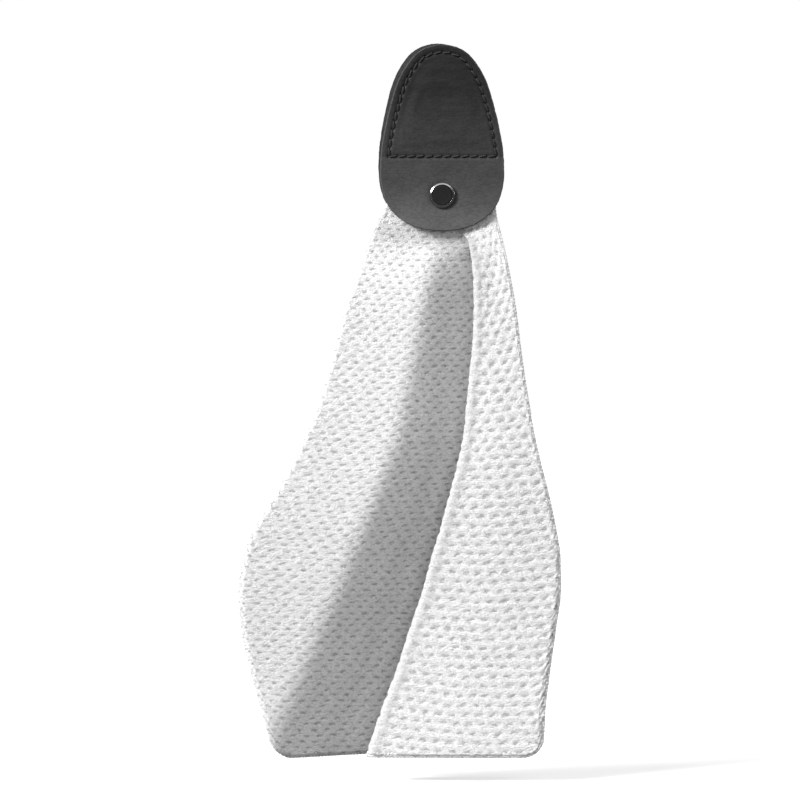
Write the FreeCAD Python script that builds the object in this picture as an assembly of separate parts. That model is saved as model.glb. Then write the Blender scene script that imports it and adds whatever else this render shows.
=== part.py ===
import FreeCAD, Part
import math
import os
from FreeCAD import Vector as V

# Magnetic golf towel: an egg-shaped two-ply leather patch with a magnet sewn
# into its upper part and a press snap in its lower part. The snap passes
# through an eyelet in the towel, which fans out below the patch.
# +Z up, front of the patch faces -Y. Origin: centre of the magnet, on the
# rear (mounting) face of the rear ply, so the whole patch lies at y <= 0.

# ---------------------------------------------------------------- dimensions
PLY = 1.6                 # leather thickness
GAP = 3.0                 # space between the two plies
Y_REAR = 0.0              # outer face of the rear ply
Y_REAR_IN = Y_REAR - PLY
Y_FRONT_IN = Y_REAR_IN - GAP
Y_FRONT = Y_FRONT_IN - PLY

# right half of the patch outline, apex to bottom (half width, z)
OUTLINE = [
    (0.0, 32.0), (5.0, 31.35), (9.0, 29.9), (12.9, 27.2), (16.5, 23.0),
    (19.6, 18.0), (21.9, 13.0), (24.2, 5.5), (26.2, -2.0), (27.85, -9.5),
    (29.15, -17.0), (29.85, -24.5), (30.0, -29.5), (29.7, -34.5),
    (28.75, -39.5), (26.9, -44.5), (23.5, -49.4), (20.6, -52.0),
    (16.6, -54.6), (10.4, -57.0), (0.0, -58.2),
]
REAR_TURN = 2.0           # the rear ply was stitched a little askew, degrees
REAR_DX, REAR_DZ = -1.0, 0.9

SEAM_Z = -22.2            # straight cross seam under the magnet pocket
FOLD_Z = SEAM_Z - 1.6     # the lower flaps bend on this line
FOLD_GAP = 0.15           # half of the slit between a panel and its flap
SNAP_Z = -41.1            # snap axis height

SEAM_INSET = 3.7          # arch seam to the edge of the front ply
STITCH_PITCH = 4.4
STITCH_LEN = 3.7
THREAD_R = 0.45
GROOVE_W = 1.3
FRONT_GROOVE = 0.6
REAR_GROOVE = 1.0

SPACER_INSET = 2.6        # foam spacer to the edge of the front ply
MAGNET_R = 15.0
MAGNET_T = 2.9

# press snap, line 20
CAP_R = 6.2
CAP_FACE_R = 4.95
CAP_H = 1.95
BARREL_R = 1.7
BARREL_HOLE = 1.8
SOCKET_R = 5.25
SOCKET_BORE = 2.85
SOCKET_DEPTH = 2.0
STUD_FLANGE_T = 0.6
STUD_NECK_R = 2.3
STUD_HEAD_R = 2.6
POST_FLANGE_R = 4.6
POST_FLANGE_T = 0.7

# towel eyelet and washer
EYELET_R = 6.0
EYELET_WALL = 0.45
EYELET_FLANGE_R = 9.6
EYELET_FLANGE_T = 0.45
EYELET_T = 2.3

# towel
CLOTH_T = 2.4
CLOTH_Y = Y_REAR_IN - GAP / 2      # mid plane of the cloth between the plies
TOWEL_DROP = 272.0                 # snap axis to the bottom hem
HEM_W = 3.0                        # overlocked band along the free edges
HEM_T = 2.6
HEM_SLIT = 0.40                    # between the cloth and the band sewn round it
CORNER_R = 10.0
TOP_RISE = 12.5                    # top edge of the cloth above the snap axis

os.makedirs("parts", exist_ok=True)


def save(shape, name):
    shape.exportStep("parts/%s.step" % name)


# ------------------------------------------------------------ patch outlines
def closed_points():
    right = OUTLINE
    left = [(-x, z) for x, z in reversed(OUTLINE[1:-1])]
    return right + left


def rear_place(p):
    a = math.radians(REAR_TURN)
    x, z = p[0], p[1] - SEAM_Z
    return (x * math.cos(a) - z * math.sin(a) + REAR_DX,
            x * math.sin(a) + z * math.cos(a) + SEAM_Z + REAR_DZ)


def spline(points, y=0.0, periodic=False):
    c = Part.BSplineCurve()
    c.interpolate(Points=[V(x, y, z) for x, z in points], PeriodicFlag=periodic)
    return c


OUTER = spline(closed_points(), 0.0, True)


def outline_sample(n=720):
    a, b = OUTER.FirstParameter, OUTER.LastParameter
    out = []
    for i in range(n):
        t = a + (b - a) * i / n
        p = OUTER.value(t)
        d = OUTER.tangent(t)[0]
        nx, nz = -d.z, d.x            # one of the two normals
        if nx * (0 - p.x) + nz * (-14 - p.z) < 0:
            nx, nz = -nx, -nz         # keep the inward one
        out.append((p.x, p.z, nx, nz))
    return out


SAMPLE = outline_sample()


def inset(d, zmin):
    """Points of the outline moved inwards by d, right foot to left foot over the top."""
    pts = [(x + nx * d, z + nz * d) for x, z, nx, nz in SAMPLE]
    right = [p for p in pts if p[0] >= 0 and p[1] > zmin]
    left = [p for p in pts if p[0] < 0 and p[1] > zmin]
    right.sort(key=lambda p: p[1])
    left.sort(key=lambda p: -p[1])
    path = right + left

    def foot(side):
        s = [p for p in pts if (p[0] > 0) == side and abs(p[0]) > 10]
        s.sort(key=lambda p: abs(p[1] - zmin))
        (xa, za), (xb, zb) = s[0], s[1]
        k = 0 if zb == za else (zmin - za) / (zb - za)
        return (xa + (xb - xa) * k, zmin)
    path = [foot(True)] + [p for p in path if p[1] > zmin + 0.2] + [foot(False)]
    return path


def thin_out(path, n):
    """n points evenly spaced along a path."""
    s = [0.0]
    for a, b in zip(path, path[1:]):
        s.append(s[-1] + math.dist(a, b))
    out = []
    j = 0
    for i in range(n):
        t = s[-1] * i / (n - 1)
        while j < len(s) - 2 and s[j + 1] < t:
            j += 1
        k = (t - s[j]) / max(1e-9, s[j + 1] - s[j])
        out.append((path[j][0] + (path[j + 1][0] - path[j][0]) * k,
                    path[j][1] + (path[j + 1][1] - path[j][1]) * k))
    return out, s[-1]


def plate(edges, y0, y1):
    face = Part.Face(Part.Wire(edges))
    return face.extrude(V(0, y1 - y0, 0))


def ply(points, y0, y1):
    return plate([spline(points, y0, True).toShape()], y0, y1)


def box_between(z0, z1):
    return Part.makeBox(120, 40, z1 - z0, V(-60, -20, z0))


def disc(r, y0, y1, z=SNAP_Z, x=0.0):
    return Part.makeCylinder(r, y1 - y0, V(x, y0, z), V(0, 1, 0))


def revolve(profile, z=SNAP_Z):
    """Turn a closed (radius, y) profile about the snap axis."""
    pts = [V(r, y, z) for r, y in profile]
    face = Part.Face(Part.makePolygon(pts + [pts[0]]))
    return face.revolve(V(0, 0, z), V(0, 1, 0), 360)


# ------------------------------------------------------------------- grooves
def arch_strip(y0, y1, width, foot_z):
    """Band of the given width along the arch seam."""
    outer, _ = thin_out(inset(SEAM_INSET - width / 2, foot_z), 46)
    inner, _ = thin_out(inset(SEAM_INSET + width / 2, foot_z), 46)
    a = spline(outer, y0).toShape()
    b = spline(inner, y0).toShape()
    return plate([a, Part.makeLine(V(outer[-1][0], y0, outer[-1][1]), V(inner[-1][0], y0, inner[-1][1])),
                  b, Part.makeLine(V(inner[0][0], y0, inner[0][1]), V(outer[0][0], y0, outer[0][1]))], y0, y1)


arch_path, arch_len = thin_out(inset(SEAM_INSET, SEAM_Z), 400)
cross_half = arch_path[0][0]


def groove(y0, y1):
    strip = arch_strip(y0, y1, GROOVE_W, SEAM_Z - 0.4)
    bar = Part.makeBox(2 * cross_half + 1.3, abs(y1 - y0), GROOVE_W,
                       V(-cross_half - 0.65, min(y0, y1), SEAM_Z - GROOVE_W / 2))
    return strip.fuse(bar)


# --------------------------------------------------------------------- plies
front = ply(closed_points(), Y_FRONT, Y_FRONT_IN).cut(groove(Y_FRONT, Y_FRONT + FRONT_GROOVE))
front = front.cut(disc(BARREL_HOLE, Y_FRONT - 1, Y_FRONT_IN + 1))
front_panel = front.common(box_between(FOLD_Z + FOLD_GAP, 60))
front_flap = front.common(box_between(-90, FOLD_Z - FOLD_GAP))

rear = ply([rear_place(p) for p in closed_points()], Y_REAR_IN, Y_REAR)
rear = rear.cut(groove(Y_REAR - REAR_GROOVE, Y_REAR))
rear = rear.cut(disc(BARREL_HOLE, Y_REAR_IN - 1, Y_REAR + 1))
rear_panel = rear.common(box_between(FOLD_Z + FOLD_GAP, 60))
rear_flap = rear.common(box_between(-90, FOLD_Z - FOLD_GAP))

for shape, name in ((front_panel, "front_panel"), (front_flap, "front_flap"),
                    (rear_panel, "rear_panel"), (rear_flap, "rear_flap")):
    save(shape.Solids[0], name)

# ------------------------------------------------- magnet and its foam holder
foot = SEAM_Z - 0.9
path, _ = thin_out(inset(SPACER_INSET, foot), 46)
spacer = plate([spline(path, Y_FRONT_IN).toShape(),
                Part.makeLine(V(path[-1][0], Y_FRONT_IN, foot), V(path[0][0], Y_FRONT_IN, foot))],
               Y_FRONT_IN, Y_REAR_IN)
spacer = spacer.cut(disc(MAGNET_R + 0.2, Y_FRONT_IN - 1, Y_REAR_IN + 1, 0))
save(spacer.Solids[0], "magnet_spacer")
mid = (Y_FRONT_IN + Y_REAR_IN) / 2
magnet = disc(MAGNET_R, mid - MAGNET_T / 2, mid + MAGNET_T / 2, 0)
magnet = magnet.makeChamfer(0.3, magnet.Edges)
save(magnet, "magnet_disc")


# ------------------------------------------------------------------ stitches
def stitch(x, z, y, angle, r=THREAD_R, length=STITCH_LEN):
    """Thread lying between two needle holes, as a round-ended bar."""
    h = length / 2 - r
    a = V(-h - r, 0, 0)
    b = V(h + r, 0, 0)
    k = r * math.sqrt(0.5)
    arc1 = Part.Arc(a, V(-h - k, 0, k), V(-h, 0, r)).toShape()
    top = Part.makeLine(V(-h, 0, r), V(h, 0, r))
    arc2 = Part.Arc(V(h, 0, r), V(h + k, 0, k), b).toShape()
    face = Part.Face(Part.Wire([arc1, top, arc2, Part.makeLine(b, a)]))
    body = face.revolve(V(0, 0, 0), V(1, 0, 0), 360)
    body.rotate(V(0, 0, 0), V(0, -1, 0), angle)
    body.translate(V(x, y, z))
    return body


def run_of_stitches(path, y, slant, r):
    s = [0.0]
    for a, b in zip(path, path[1:]):
        s.append(s[-1] + math.dist(a, b))
    n = int(round(s[-1] / STITCH_PITCH))
    out = []
    j = 0
    for i in range(n):
        t = s[-1] * (i + 0.5) / n
        while s[j + 1] < t:
            j += 1
        k = (t - s[j]) / (s[j + 1] - s[j])
        x = path[j][0] + (path[j + 1][0] - path[j][0]) * k
        z = path[j][1] + (path[j + 1][1] - path[j][1]) * k
        ang = math.degrees(math.atan2(path[j + 1][1] - path[j][1], path[j + 1][0] - path[j][0]))
        out.append(stitch(x, z, y, ang + slant, r))
    return Part.makeCompound(out)


arch_open = [p for p in arch_path if p[1] > SEAM_Z + 1.9]
cross_path = [(-cross_half + 2 * cross_half * i / 20.0, SEAM_Z) for i in range(21)]
y_needle = Y_FRONT + 0.08
y_bobbin = Y_REAR - 0.5
save(run_of_stitches(arch_open, y_needle, 4, THREAD_R), "arch_needle_thread")
save(run_of_stitches(cross_path, y_needle, 4, THREAD_R), "cross_needle_thread")
save(run_of_stitches(arch_open, y_bobbin, 0, 0.42), "arch_bobbin_thread")
save(run_of_stitches(cross_path, y_bobbin, 0, 0.42), "cross_bobbin_thread")

# ---------------------------------------------------------------- press snap
# front half: cap with its barrel, black face disc, socket, spring ring
yf = Y_FRONT
cap = revolve([
    (1.05, yf - 0.55), (4.7, yf - 0.55), (CAP_FACE_R, yf - 0.85), (CAP_FACE_R, yf - CAP_H + 0.12),
    (CAP_FACE_R + 0.22, yf - CAP_H), (CAP_FACE_R + 0.62, yf - CAP_H + 0.08), (CAP_R - 0.28, yf - CAP_H + 0.5),
    (CAP_R - 0.06, yf - CAP_H + 0.95), (CAP_R, yf - 0.55), (CAP_R - 0.1, yf - 0.12), (CAP_R - 0.4, yf),
    (BARREL_R, yf), (BARREL_R, Y_FRONT_IN + 0.45), (2.35, Y_FRONT_IN + 0.47),
    (2.35, Y_FRONT_IN + 0.72), (1.05, Y_FRONT_IN + 0.72)])
save(cap, "snap_cap_rim")
face = disc(CAP_FACE_R - 0.05, yf - 1.75, yf - 0.9)
save(face, "snap_cap_face")
ys = Y_FRONT_IN
socket = revolve([
    (BARREL_R + 0.05, ys), (SOCKET_R - 0.25, ys), (SOCKET_R, ys + 0.25), (SOCKET_R, ys + 1.1),
    (SOCKET_R - 0.9, ys + SOCKET_DEPTH - 0.25), (3.5, ys + SOCKET_DEPTH),
    (SOCKET_BORE + 0.05, ys + SOCKET_DEPTH), (SOCKET_BORE, ys + SOCKET_DEPTH - 0.12),
    (SOCKET_BORE, ys + 1.62), (3.55, ys + 1.62), (3.55, ys + 0.88), (SOCKET_BORE, ys + 0.88),
    (SOCKET_BORE, ys + 0.45), (BARREL_R + 0.05, ys + 0.45)])
save(socket, "snap_socket")
ring = Part.makeTorus(3.12, 0.31, V(0, ys + 1.25, SNAP_Z), V(0, 1, 0), 0, 360, 335)
save(ring, "snap_spring_ring")

# rear half: stud and the post that rivets it to the rear flap
yr = Y_REAR_IN
stud = revolve([
    (BARREL_R + 0.05, yr), (SOCKET_R - 0.2, yr), (SOCKET_R, yr - 0.2), (SOCKET_R, yr - STUD_FLANGE_T + 0.15),
    (SOCKET_R - 0.25, yr - STUD_FLANGE_T), (STUD_NECK_R, yr - STUD_FLANGE_T), (STUD_NECK_R, yr - 1.2),
    (STUD_HEAD_R, yr - 1.45), (STUD_HEAD_R, yr - 1.75), (STUD_HEAD_R - 0.45, yr - 2.1),
    (2.0, yr - 2.1), (2.0, yr - STUD_FLANGE_T), (BARREL_R + 0.05, yr - STUD_FLANGE_T)])
save(stud, "snap_stud")
post = revolve([
    (1.1, yr - 1.0), (1.95, yr - 1.0), (1.95, yr - STUD_FLANGE_T - 0.02), (BARREL_R, yr - STUD_FLANGE_T - 0.02),
    (BARREL_R, Y_REAR), (POST_FLANGE_R - 0.2, Y_REAR), (POST_FLANGE_R, Y_REAR + 0.2),
    (POST_FLANGE_R - 0.35, Y_REAR + POST_FLANGE_T - 0.1), (POST_FLANGE_R - 0.9, Y_REAR + POST_FLANGE_T),
    (1.9, Y_REAR + POST_FLANGE_T), (1.1, Y_REAR + 0.2)])
save(post, "snap_post")

# -------------------------------------------------------------- towel eyelet
ye = CLOTH_Y - EYELET_T / 2
eyelet = revolve([
    (EYELET_R, ye), (EYELET_FLANGE_R - 0.2, ye), (EYELET_FLANGE_R, ye + 0.2), (EYELET_FLANGE_R, ye + EYELET_FLANGE_T),
    (EYELET_R + EYELET_WALL, ye + EYELET_FLANGE_T), (EYELET_R + EYELET_WALL, ye + EYELET_T), (EYELET_R, ye + EYELET_T)])
save(eyelet, "towel_eyelet")
yw = CLOTH_Y + EYELET_T / 2
washer = revolve([
    (EYELET_R + EYELET_WALL + 0.05, yw - EYELET_FLANGE_T), (EYELET_FLANGE_R, yw - EYELET_FLANGE_T),
    (EYELET_FLANGE_R, yw - 0.2), (EYELET_FLANGE_R - 0.2, yw), (EYELET_R + EYELET_WALL + 0.05, yw)])
save(washer, "eyelet_washer")

# ---------------------------------------------------------------- towel drape
# Front silhouette of the towel at a depth s below the snap axis: left edge,
# right edge, and the edge of the big pleat.
LEFT = [(-14, -24.5), (-8, -29.0), (-3, -31.0), (3, -31.8), (10.5, -33.2), (18, -35.2), (25.5, -37.6),
        (40.5, -42.0), (55.5, -47.5), (70.5, -51.5), (85.5, -55.5), (100.5, -60.0), (115.5, -66.0),
        (130.5, -73.5), (145.5, -81.5), (160.5, -91.0), (175.5, -96.5), (190.5, -98.5), (210, -97.0),
        (230, -92.5), (250, -87.0), (272, -81.0)]
RIGHT = [(-14, 24.5), (-8, 28.0), (-3, 29.5), (3, 29.8), (10.5, 30.0), (18, 30.6), (25.5, 31.4), (40.5, 33.8),
         (55.5, 36.0), (70.5, 37.8), (85.5, 39.8), (100.5, 42.2), (115.5, 44.8), (130.5, 48.2), (145.5, 52.0),
         (160.5, 55.2), (175.5, 57.4), (190.5, 57.6), (210, 55.2), (230, 52.4), (250, 50.0), (272, 49.0)]
PLEAT = [(-14, 9.0), (3, 10.0), (18, 12.0), (25.5, 14.0), (40.5, 16.0), (55.5, 16.4), (70.5, 16.0), (85.5, 14.5),
         (100.5, 13.0), (115.5, 11.5), (130.5, 8.5), (145.5, 4.5), (160.5, 0.5), (175.5, -4.0), (190.5, -8.0),
         (210, -14.5), (230, -21.0), (250, -28.5), (272, -36.0)]
# length of the hidden middle layer, radius of the two turns, turn angle
HIDDEN = [(-14, 0.6), (18, 0.8), (26, 3.0), (34, 6.0), (45, 9.0), (70, 13.0), (115, 21.5), (160, 39.0), (190, 49.0),
          (230, 57.0), (272, 65.0)]
TURN_R = [(-14, 2.6), (18, 2.6), (45, 2.7), (90, 3.4), (150, 4.6), (210, 5.6), (272, 6.4)]
# the channel beside the pleat: its depth and its width
RECESS = [(20, 0.0), (45, 6.0), (80, 10.0), (115, 13.5), (190, 18.0), (272, 18.0)]
RECESS_W = [(20, 22.0), (40, 26.0), (115, 36.0), (190, 47.0), (272, 50.0)]
TURN_A = [(-14, 176.0), (272, 180.0)]


def table(t, s):
    """Smooth (monotone cubic) reading of a table."""
    if s <= t[0][0]:
        return t[0][1]
    if s >= t[-1][0]:
        return t[-1][1]
    n = len(t)
    d = [(t[i + 1][1] - t[i][1]) / (t[i + 1][0] - t[i][0]) for i in range(n - 1)]
    i = 0
    while t[i + 1][0] < s:
        i += 1

    def slope(j):
        if j == 0:
            return d[0]
        if j == n - 1:
            return d[-1]
        if d[j - 1] * d[j] <= 0:
            return 0.0
        return 2 * d[j - 1] * d[j] / (d[j - 1] + d[j])
    h = t[i + 1][0] - t[i][0]
    k = (s - t[i][0]) / h
    m0, m1 = slope(i) * h, slope(i + 1) * h
    return ((2 * k ** 3 - 3 * k ** 2 + 1) * t[i][1] + (k ** 3 - 2 * k ** 2 + k) * m0
            + (-2 * k ** 3 + 3 * k ** 2) * t[i + 1][1] + (k ** 3 - k ** 2) * m1)


def smooth(k):
    k = min(1.0, max(0.0, k))
    return k * k * k * (k * (6 * k - 15) + 10)


# parameter breaks: left panel, first turn, hidden layer, second turn, right panel
UA, U1, UB, U2 = 0.34, 0.46, 0.60, 0.72


def lengths(s):
    xl, xr, xf = table(LEFT, s), table(RIGHT, s), table(PLEAT, s)
    lb, r, a = table(HIDDEN, s), table(TURN_R, s), math.radians(table(TURN_A, s))
    sa, ca = math.sin(a), math.cos(a)
    back = r * (1 - sa) if a > math.pi / 2 else 0.0
    la = xf + back - r * sa - lb * ca - xl
    lc = xr - xl - la - 2 * r * sa - lb * ca
    return xl, la, lb, lc, r, a


# reach of the patch's lower flaps about the snap axis, swung 20 degrees each way
REACH = [(0, 19.0), (15, 20.0), (32, 22.6), (50, 25.6), (63, 27.8), (73, 29.6), (85, 33.4), (100, 36.0), (180, 36.0)]


def freedom(x, z):
    """0 where the cloth must stay flat between the plies, rising to 1 outside them."""
    dx, dz = x, SNAP_Z - z
    rho = math.hypot(dx, dz)
    phi = math.degrees(math.atan2(abs(dx), dz))
    return smooth((rho - table(REACH, phi)) / 44.0)


def drape(u, s):
    """Centre of the cloth at parameter u across and depth s below the snap axis."""
    xl, la, lb, lc, r, a = lengths(s)
    sa, ca = math.sin(a), math.cos(a)
    if u <= UA:
        k = u / UA
        x, y = xl + la * k, 0.0
    elif u <= U1:
        t = a * (u - UA) / (U1 - UA)
        x, y = xl + la + r * math.sin(t), -r * (1 - math.cos(t))
    elif u <= UB:
        k = (u - U1) / (UB - U1)
        x, y = xl + la + r * sa + lb * ca * k, -r * (1 - ca) - lb * sa * k
    elif u <= U2:
        t = a * (1 - (u - UB) / (U2 - UB))
        x = xl + la + 2 * r * sa + lb * ca - r * math.sin(t)
        y = -r * (1 - ca) - lb * sa - r * (math.cos(t) - ca)
    else:
        k = (u - U2) / (1 - U2)
        x, y = xl + la + 2 * r * sa + lb * ca + lc * k, -2 * r * (1 - ca) - lb * sa
    z = SNAP_Z - s
    half = r * (1 - ca) + lb * sa / 2
    y += half                                   # middle layer on the mid plane
    # near the patch the cloth is one flat layer, and the pleat grows out of it
    w = smooth((s - 17.0) / 62.0)
    xr = table(RIGHT, s)
    x = x * w + (xl + (xr - xl) * u) * (1 - w)
    y = y * w
    # the left panel lies forward and falls back in a channel beside the pleat
    grow = smooth((s - 20) / 150.0)
    if u < UA:
        y -= table(RECESS, s) * smooth((table(PLEAT, s) - x) / table(RECESS_W, s))
        y -= (1.0 + 2.0 * grow) * (1 - u / UA) ** 3 * smooth((s - 5) / 60.0)
    # the right panel swells forward and falls back at its free edge
    kc = max(0.0, (u - U2) / (1 - U2))
    y -= (2.0 + 5.0 * grow) * math.sin(math.pi * min(1.0, kc)) ** 2 * smooth((s - 10) / 60.0)
    y += (2.0 + 7.0 * grow) * kc * kc * smooth((s - 5) / 60.0)
    # slow roll of the whole drape
    y += 3.0 * grow * math.sin(2 * math.pi * (s / 210.0 + 0.4 * u))
    f = freedom(x, z)
    return V(x, CLOTH_Y + y * f, z)


def top_s(u):
    """Depth of the top edge: a shallow arch above the snap, kept clear of the cross seam."""
    xl, la, lb, lc, r, a = lengths(-TOP_RISE)
    k = abs(2 * u - 1)
    return -TOP_RISE + (TOP_RISE - 3.0) * k ** 4


def bottom_s(e, margin):
    """Depth of the cloth's bottom edge at distance e from the free side edge: an eased corner inside the round hem."""
    base = TOWEL_DROP - margin
    ease = 1.7 * (CORNER_R - margin)
    return base - (CORNER_R - margin) * max(0.0, 1 - e / ease) ** 3


def edge_speed(s):
    """Length of cloth per unit of u at the left and the right free edge."""
    h = 0.01
    return ((drape(h, s) - drape(0, s)).Length / h, (drape(1, s) - drape(1 - h, s)).Length / h)


def at(s, e, side):
    """Parameter u at distance e from the left or right free edge."""
    left, right = edge_speed(s)
    return e / left if side < 0 else 1 - e / right


def normal(u, s):
    h = 1e-3
    u0, u1 = max(0.0, u - h), min(1.0, u + h)
    du = drape(u1, s) - drape(u0, s)
    ds = drape(u, s + 0.05) - drape(u, s - 0.05)
    n = du.cross(ds)
    n.normalize()
    return n


def thick_sheet(grid, t):
    """Closed solid of thickness t about a grid of (u, s) points."""
    def skin(sign):
        rows = []
        for line in grid:
            rows.append([drape(u, s) + normal(u, s) * (sign * t / 2) for u, s in line])
        b = Part.BSplineSurface()
        b.interpolate(rows)
        return b
    a, b = skin(1), skin(-1)
    u0, u1, v0, v1 = a.bounds()
    fa, fb = a.toShape(), b.toShape()
    faces = [fa, fb]
    for pick in (lambda f: f.uIso(u0), lambda f: f.uIso(u1), lambda f: f.vIso(v0), lambda f: f.vIso(v1)):
        faces.append(Part.makeRuledSurface(pick(a).toShape(), pick(b).toShape()))
    sewn = Part.makeCompound(faces)
    sewn.sewShape(1e-4)
    shell = sewn.Shells[0] if sewn.Shells else Part.Shell(sewn.Faces)
    solid = Part.Solid(shell)
    if solid.Volume < 0:
        solid.reverse()
    return solid


def across():
    """Parameters across the towel, closer together in the turns."""
    u = [UA * i / 13.0 for i in range(13)]
    u += [UA + (U1 - UA) * i / 5.0 for i in range(5)]
    u += [U1 + (UB - U1) * i / 5.0 for i in range(5)]
    u += [UB + (U2 - UB) * i / 5.0 for i in range(5)]
    u += [U2 + (1 - U2) * i / 11.0 for i in range(12)]
    return u


def cloth_grid(margin):
    us = across()
    rows = []
    vs = [0, 0.02, 0.04, 0.06, 0.08, 0.10, 0.12, 0.14, 0.16, 0.18, 0.20, 0.22, 0.24, 0.265, 0.29, 0.315, 0.345, 0.38,
          0.42, 0.47, 0.53, 0.59, 0.65, 0.71, 0.77, 0.83, 0.89, 0.945, 1.0]
    for k in us:
        line = []
        for v in vs:
            top = top_s(k)
            # the side margins are measured along the cloth, so the free edge stays an even band
            s = top + (TOWEL_DROP - margin - top) * v
            for _ in range(2):
                left, right = edge_speed(s)
                um, un = margin / left, margin / right
                if k < UA:
                    u = um + (UA - um) * k / UA
                    bs = bottom_s(left * u - margin, margin)
                elif k > U2:
                    u = 1 - un - (1 - U2 - un) * (1 - k) / (1 - U2)
                    bs = bottom_s(right * (1 - u) - margin, margin)
                else:
                    u = k
                    bs = TOWEL_DROP - margin
                s = top + (bs - top) * v
            line.append((u, s))
        rows.append(line)
    return rows


cloth = thick_sheet(cloth_grid(HEM_W + HEM_SLIT), CLOTH_T)
cloth = cloth.cut(disc(EYELET_R + EYELET_WALL + 0.05, CLOTH_Y - 5, CLOTH_Y + 5))
cloth = cloth.cut(disc(EYELET_FLANGE_R + 0.1, CLOTH_Y - 5, CLOTH_Y - EYELET_T / 2 + EYELET_FLANGE_T))
cloth = cloth.cut(disc(EYELET_FLANGE_R + 0.1, CLOTH_Y + EYELET_T / 2 - EYELET_FLANGE_T, CLOTH_Y + 5))
save(cloth.Solids[0], "towel_cloth")


def hem_grid(side):
    """Overlocked band: down one free side, round the corner."""
    rows = []
    inner_r = CORNER_R - HEM_W
    path = []
    s0 = 1.0
    n = 24
    s_end = TOWEL_DROP - CORNER_R
    for i in range(n):
        path.append(("side", s0 + (s_end - s0) * i / float(n)))
    for i in range(7):
        path.append(("corner", math.radians(90.0 * i / 6)))
    for kind, t in path:
        line = []
        for j in range(3):
            m = HEM_W * j / 2.0
            if kind == "side":
                s, e = t, m
            else:
                rr = CORNER_R - m
                e = CORNER_R - rr * math.cos(t)
                s = TOWEL_DROP - CORNER_R + rr * math.sin(t)
            line.append((at(s, e, side), s))
        rows.append(line)
    return rows


def bottom_hem_grid():
    rows = []
    s_mid = TOWEL_DROP
    ua = at(s_mid, CORNER_R + 0.3, -1)
    ub = at(s_mid, CORNER_R + 0.3, 1)
    us = [ua + (UA - ua) * i / 12.0 for i in range(12)]
    us += [UA + (U1 - UA) * i / 8.0 for i in range(8)]
    us += [U1 + (UB - U1) * i / 8.0 for i in range(8)]
    us += [UB + (U2 - UB) * i / 8.0 for i in range(8)]
    us += [U2 + (ub - U2) * i / 12.0 for i in range(13)]
    for u in us:
        rows.append([(u, TOWEL_DROP - HEM_W * j / 2.0) for j in range(3)])
    return rows


save(thick_sheet(hem_grid(-1), HEM_T), "hem_left")
save(thick_sheet(hem_grid(1), HEM_T), "hem_right")
save(thick_sheet(bottom_hem_grid(), HEM_T), "hem_bottom")
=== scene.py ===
"""A pleated microfibre towel hanging from a stitched leather patch with a magnet and a press snap.

X runs right, Z up, and the front faces -Y. The patch is two upright plies, the rear grain face
at Y = 0; below the cross seam they part into flaps that hold the towel between them on the snap,
whose axis runs along Y. Geometry is worked in mm and scaled to metres in make_mesh; materials,
lights and camera are in metres.
"""

import itertools
import math
from functools import partial

import bmesh
import bpy
import numpy as np
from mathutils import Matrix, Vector


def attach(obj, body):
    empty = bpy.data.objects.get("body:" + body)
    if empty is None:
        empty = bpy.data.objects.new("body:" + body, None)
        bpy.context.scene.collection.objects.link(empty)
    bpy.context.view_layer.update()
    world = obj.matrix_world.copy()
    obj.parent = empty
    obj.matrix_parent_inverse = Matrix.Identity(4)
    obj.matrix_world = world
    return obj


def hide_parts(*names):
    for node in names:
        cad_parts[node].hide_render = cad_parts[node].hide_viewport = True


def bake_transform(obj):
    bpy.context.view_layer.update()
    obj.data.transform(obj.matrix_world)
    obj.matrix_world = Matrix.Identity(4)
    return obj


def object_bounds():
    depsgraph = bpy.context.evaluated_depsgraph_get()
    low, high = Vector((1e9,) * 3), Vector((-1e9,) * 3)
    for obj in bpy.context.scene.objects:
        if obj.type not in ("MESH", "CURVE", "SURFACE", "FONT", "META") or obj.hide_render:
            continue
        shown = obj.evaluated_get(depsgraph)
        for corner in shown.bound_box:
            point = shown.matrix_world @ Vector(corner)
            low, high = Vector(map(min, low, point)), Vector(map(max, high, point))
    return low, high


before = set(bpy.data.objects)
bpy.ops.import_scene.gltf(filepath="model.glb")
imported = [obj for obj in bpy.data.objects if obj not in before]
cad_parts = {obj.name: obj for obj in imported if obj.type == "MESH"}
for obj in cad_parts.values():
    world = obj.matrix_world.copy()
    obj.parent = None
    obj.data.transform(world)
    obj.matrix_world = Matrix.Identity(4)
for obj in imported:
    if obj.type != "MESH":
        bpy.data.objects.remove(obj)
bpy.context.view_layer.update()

# ------------------------------------------------------------------ dimensions (mm)
MM = 0.001

# Layers along Y, from the rear grain face forward
PLY, GAP = 1.6, 3.0
REAR_Y = 0.0
REAR_INNER_Y = REAR_Y - PLY
FRONT_INNER_Y = REAR_INNER_Y - GAP
FRONT_Y = FRONT_INNER_Y - PLY
CLOTH_Y = REAR_INNER_Y - GAP / 2

# Heights on the patch
SEAM_Z = -22.2
SNAP_Z = -41.1
PATCH_MIDDLE_Z = -14.0

# Stitching
SEAM_INSET = 3.7
PITCH = 4.4

# Towel
DROP = 272.0            # snap axis to bottom edge
HEM_WIDTH = 3.0
CORNER_RADIUS = 10.0
TOP_RISE = 12.5         # snap axis up to the middle of the top edge

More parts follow.
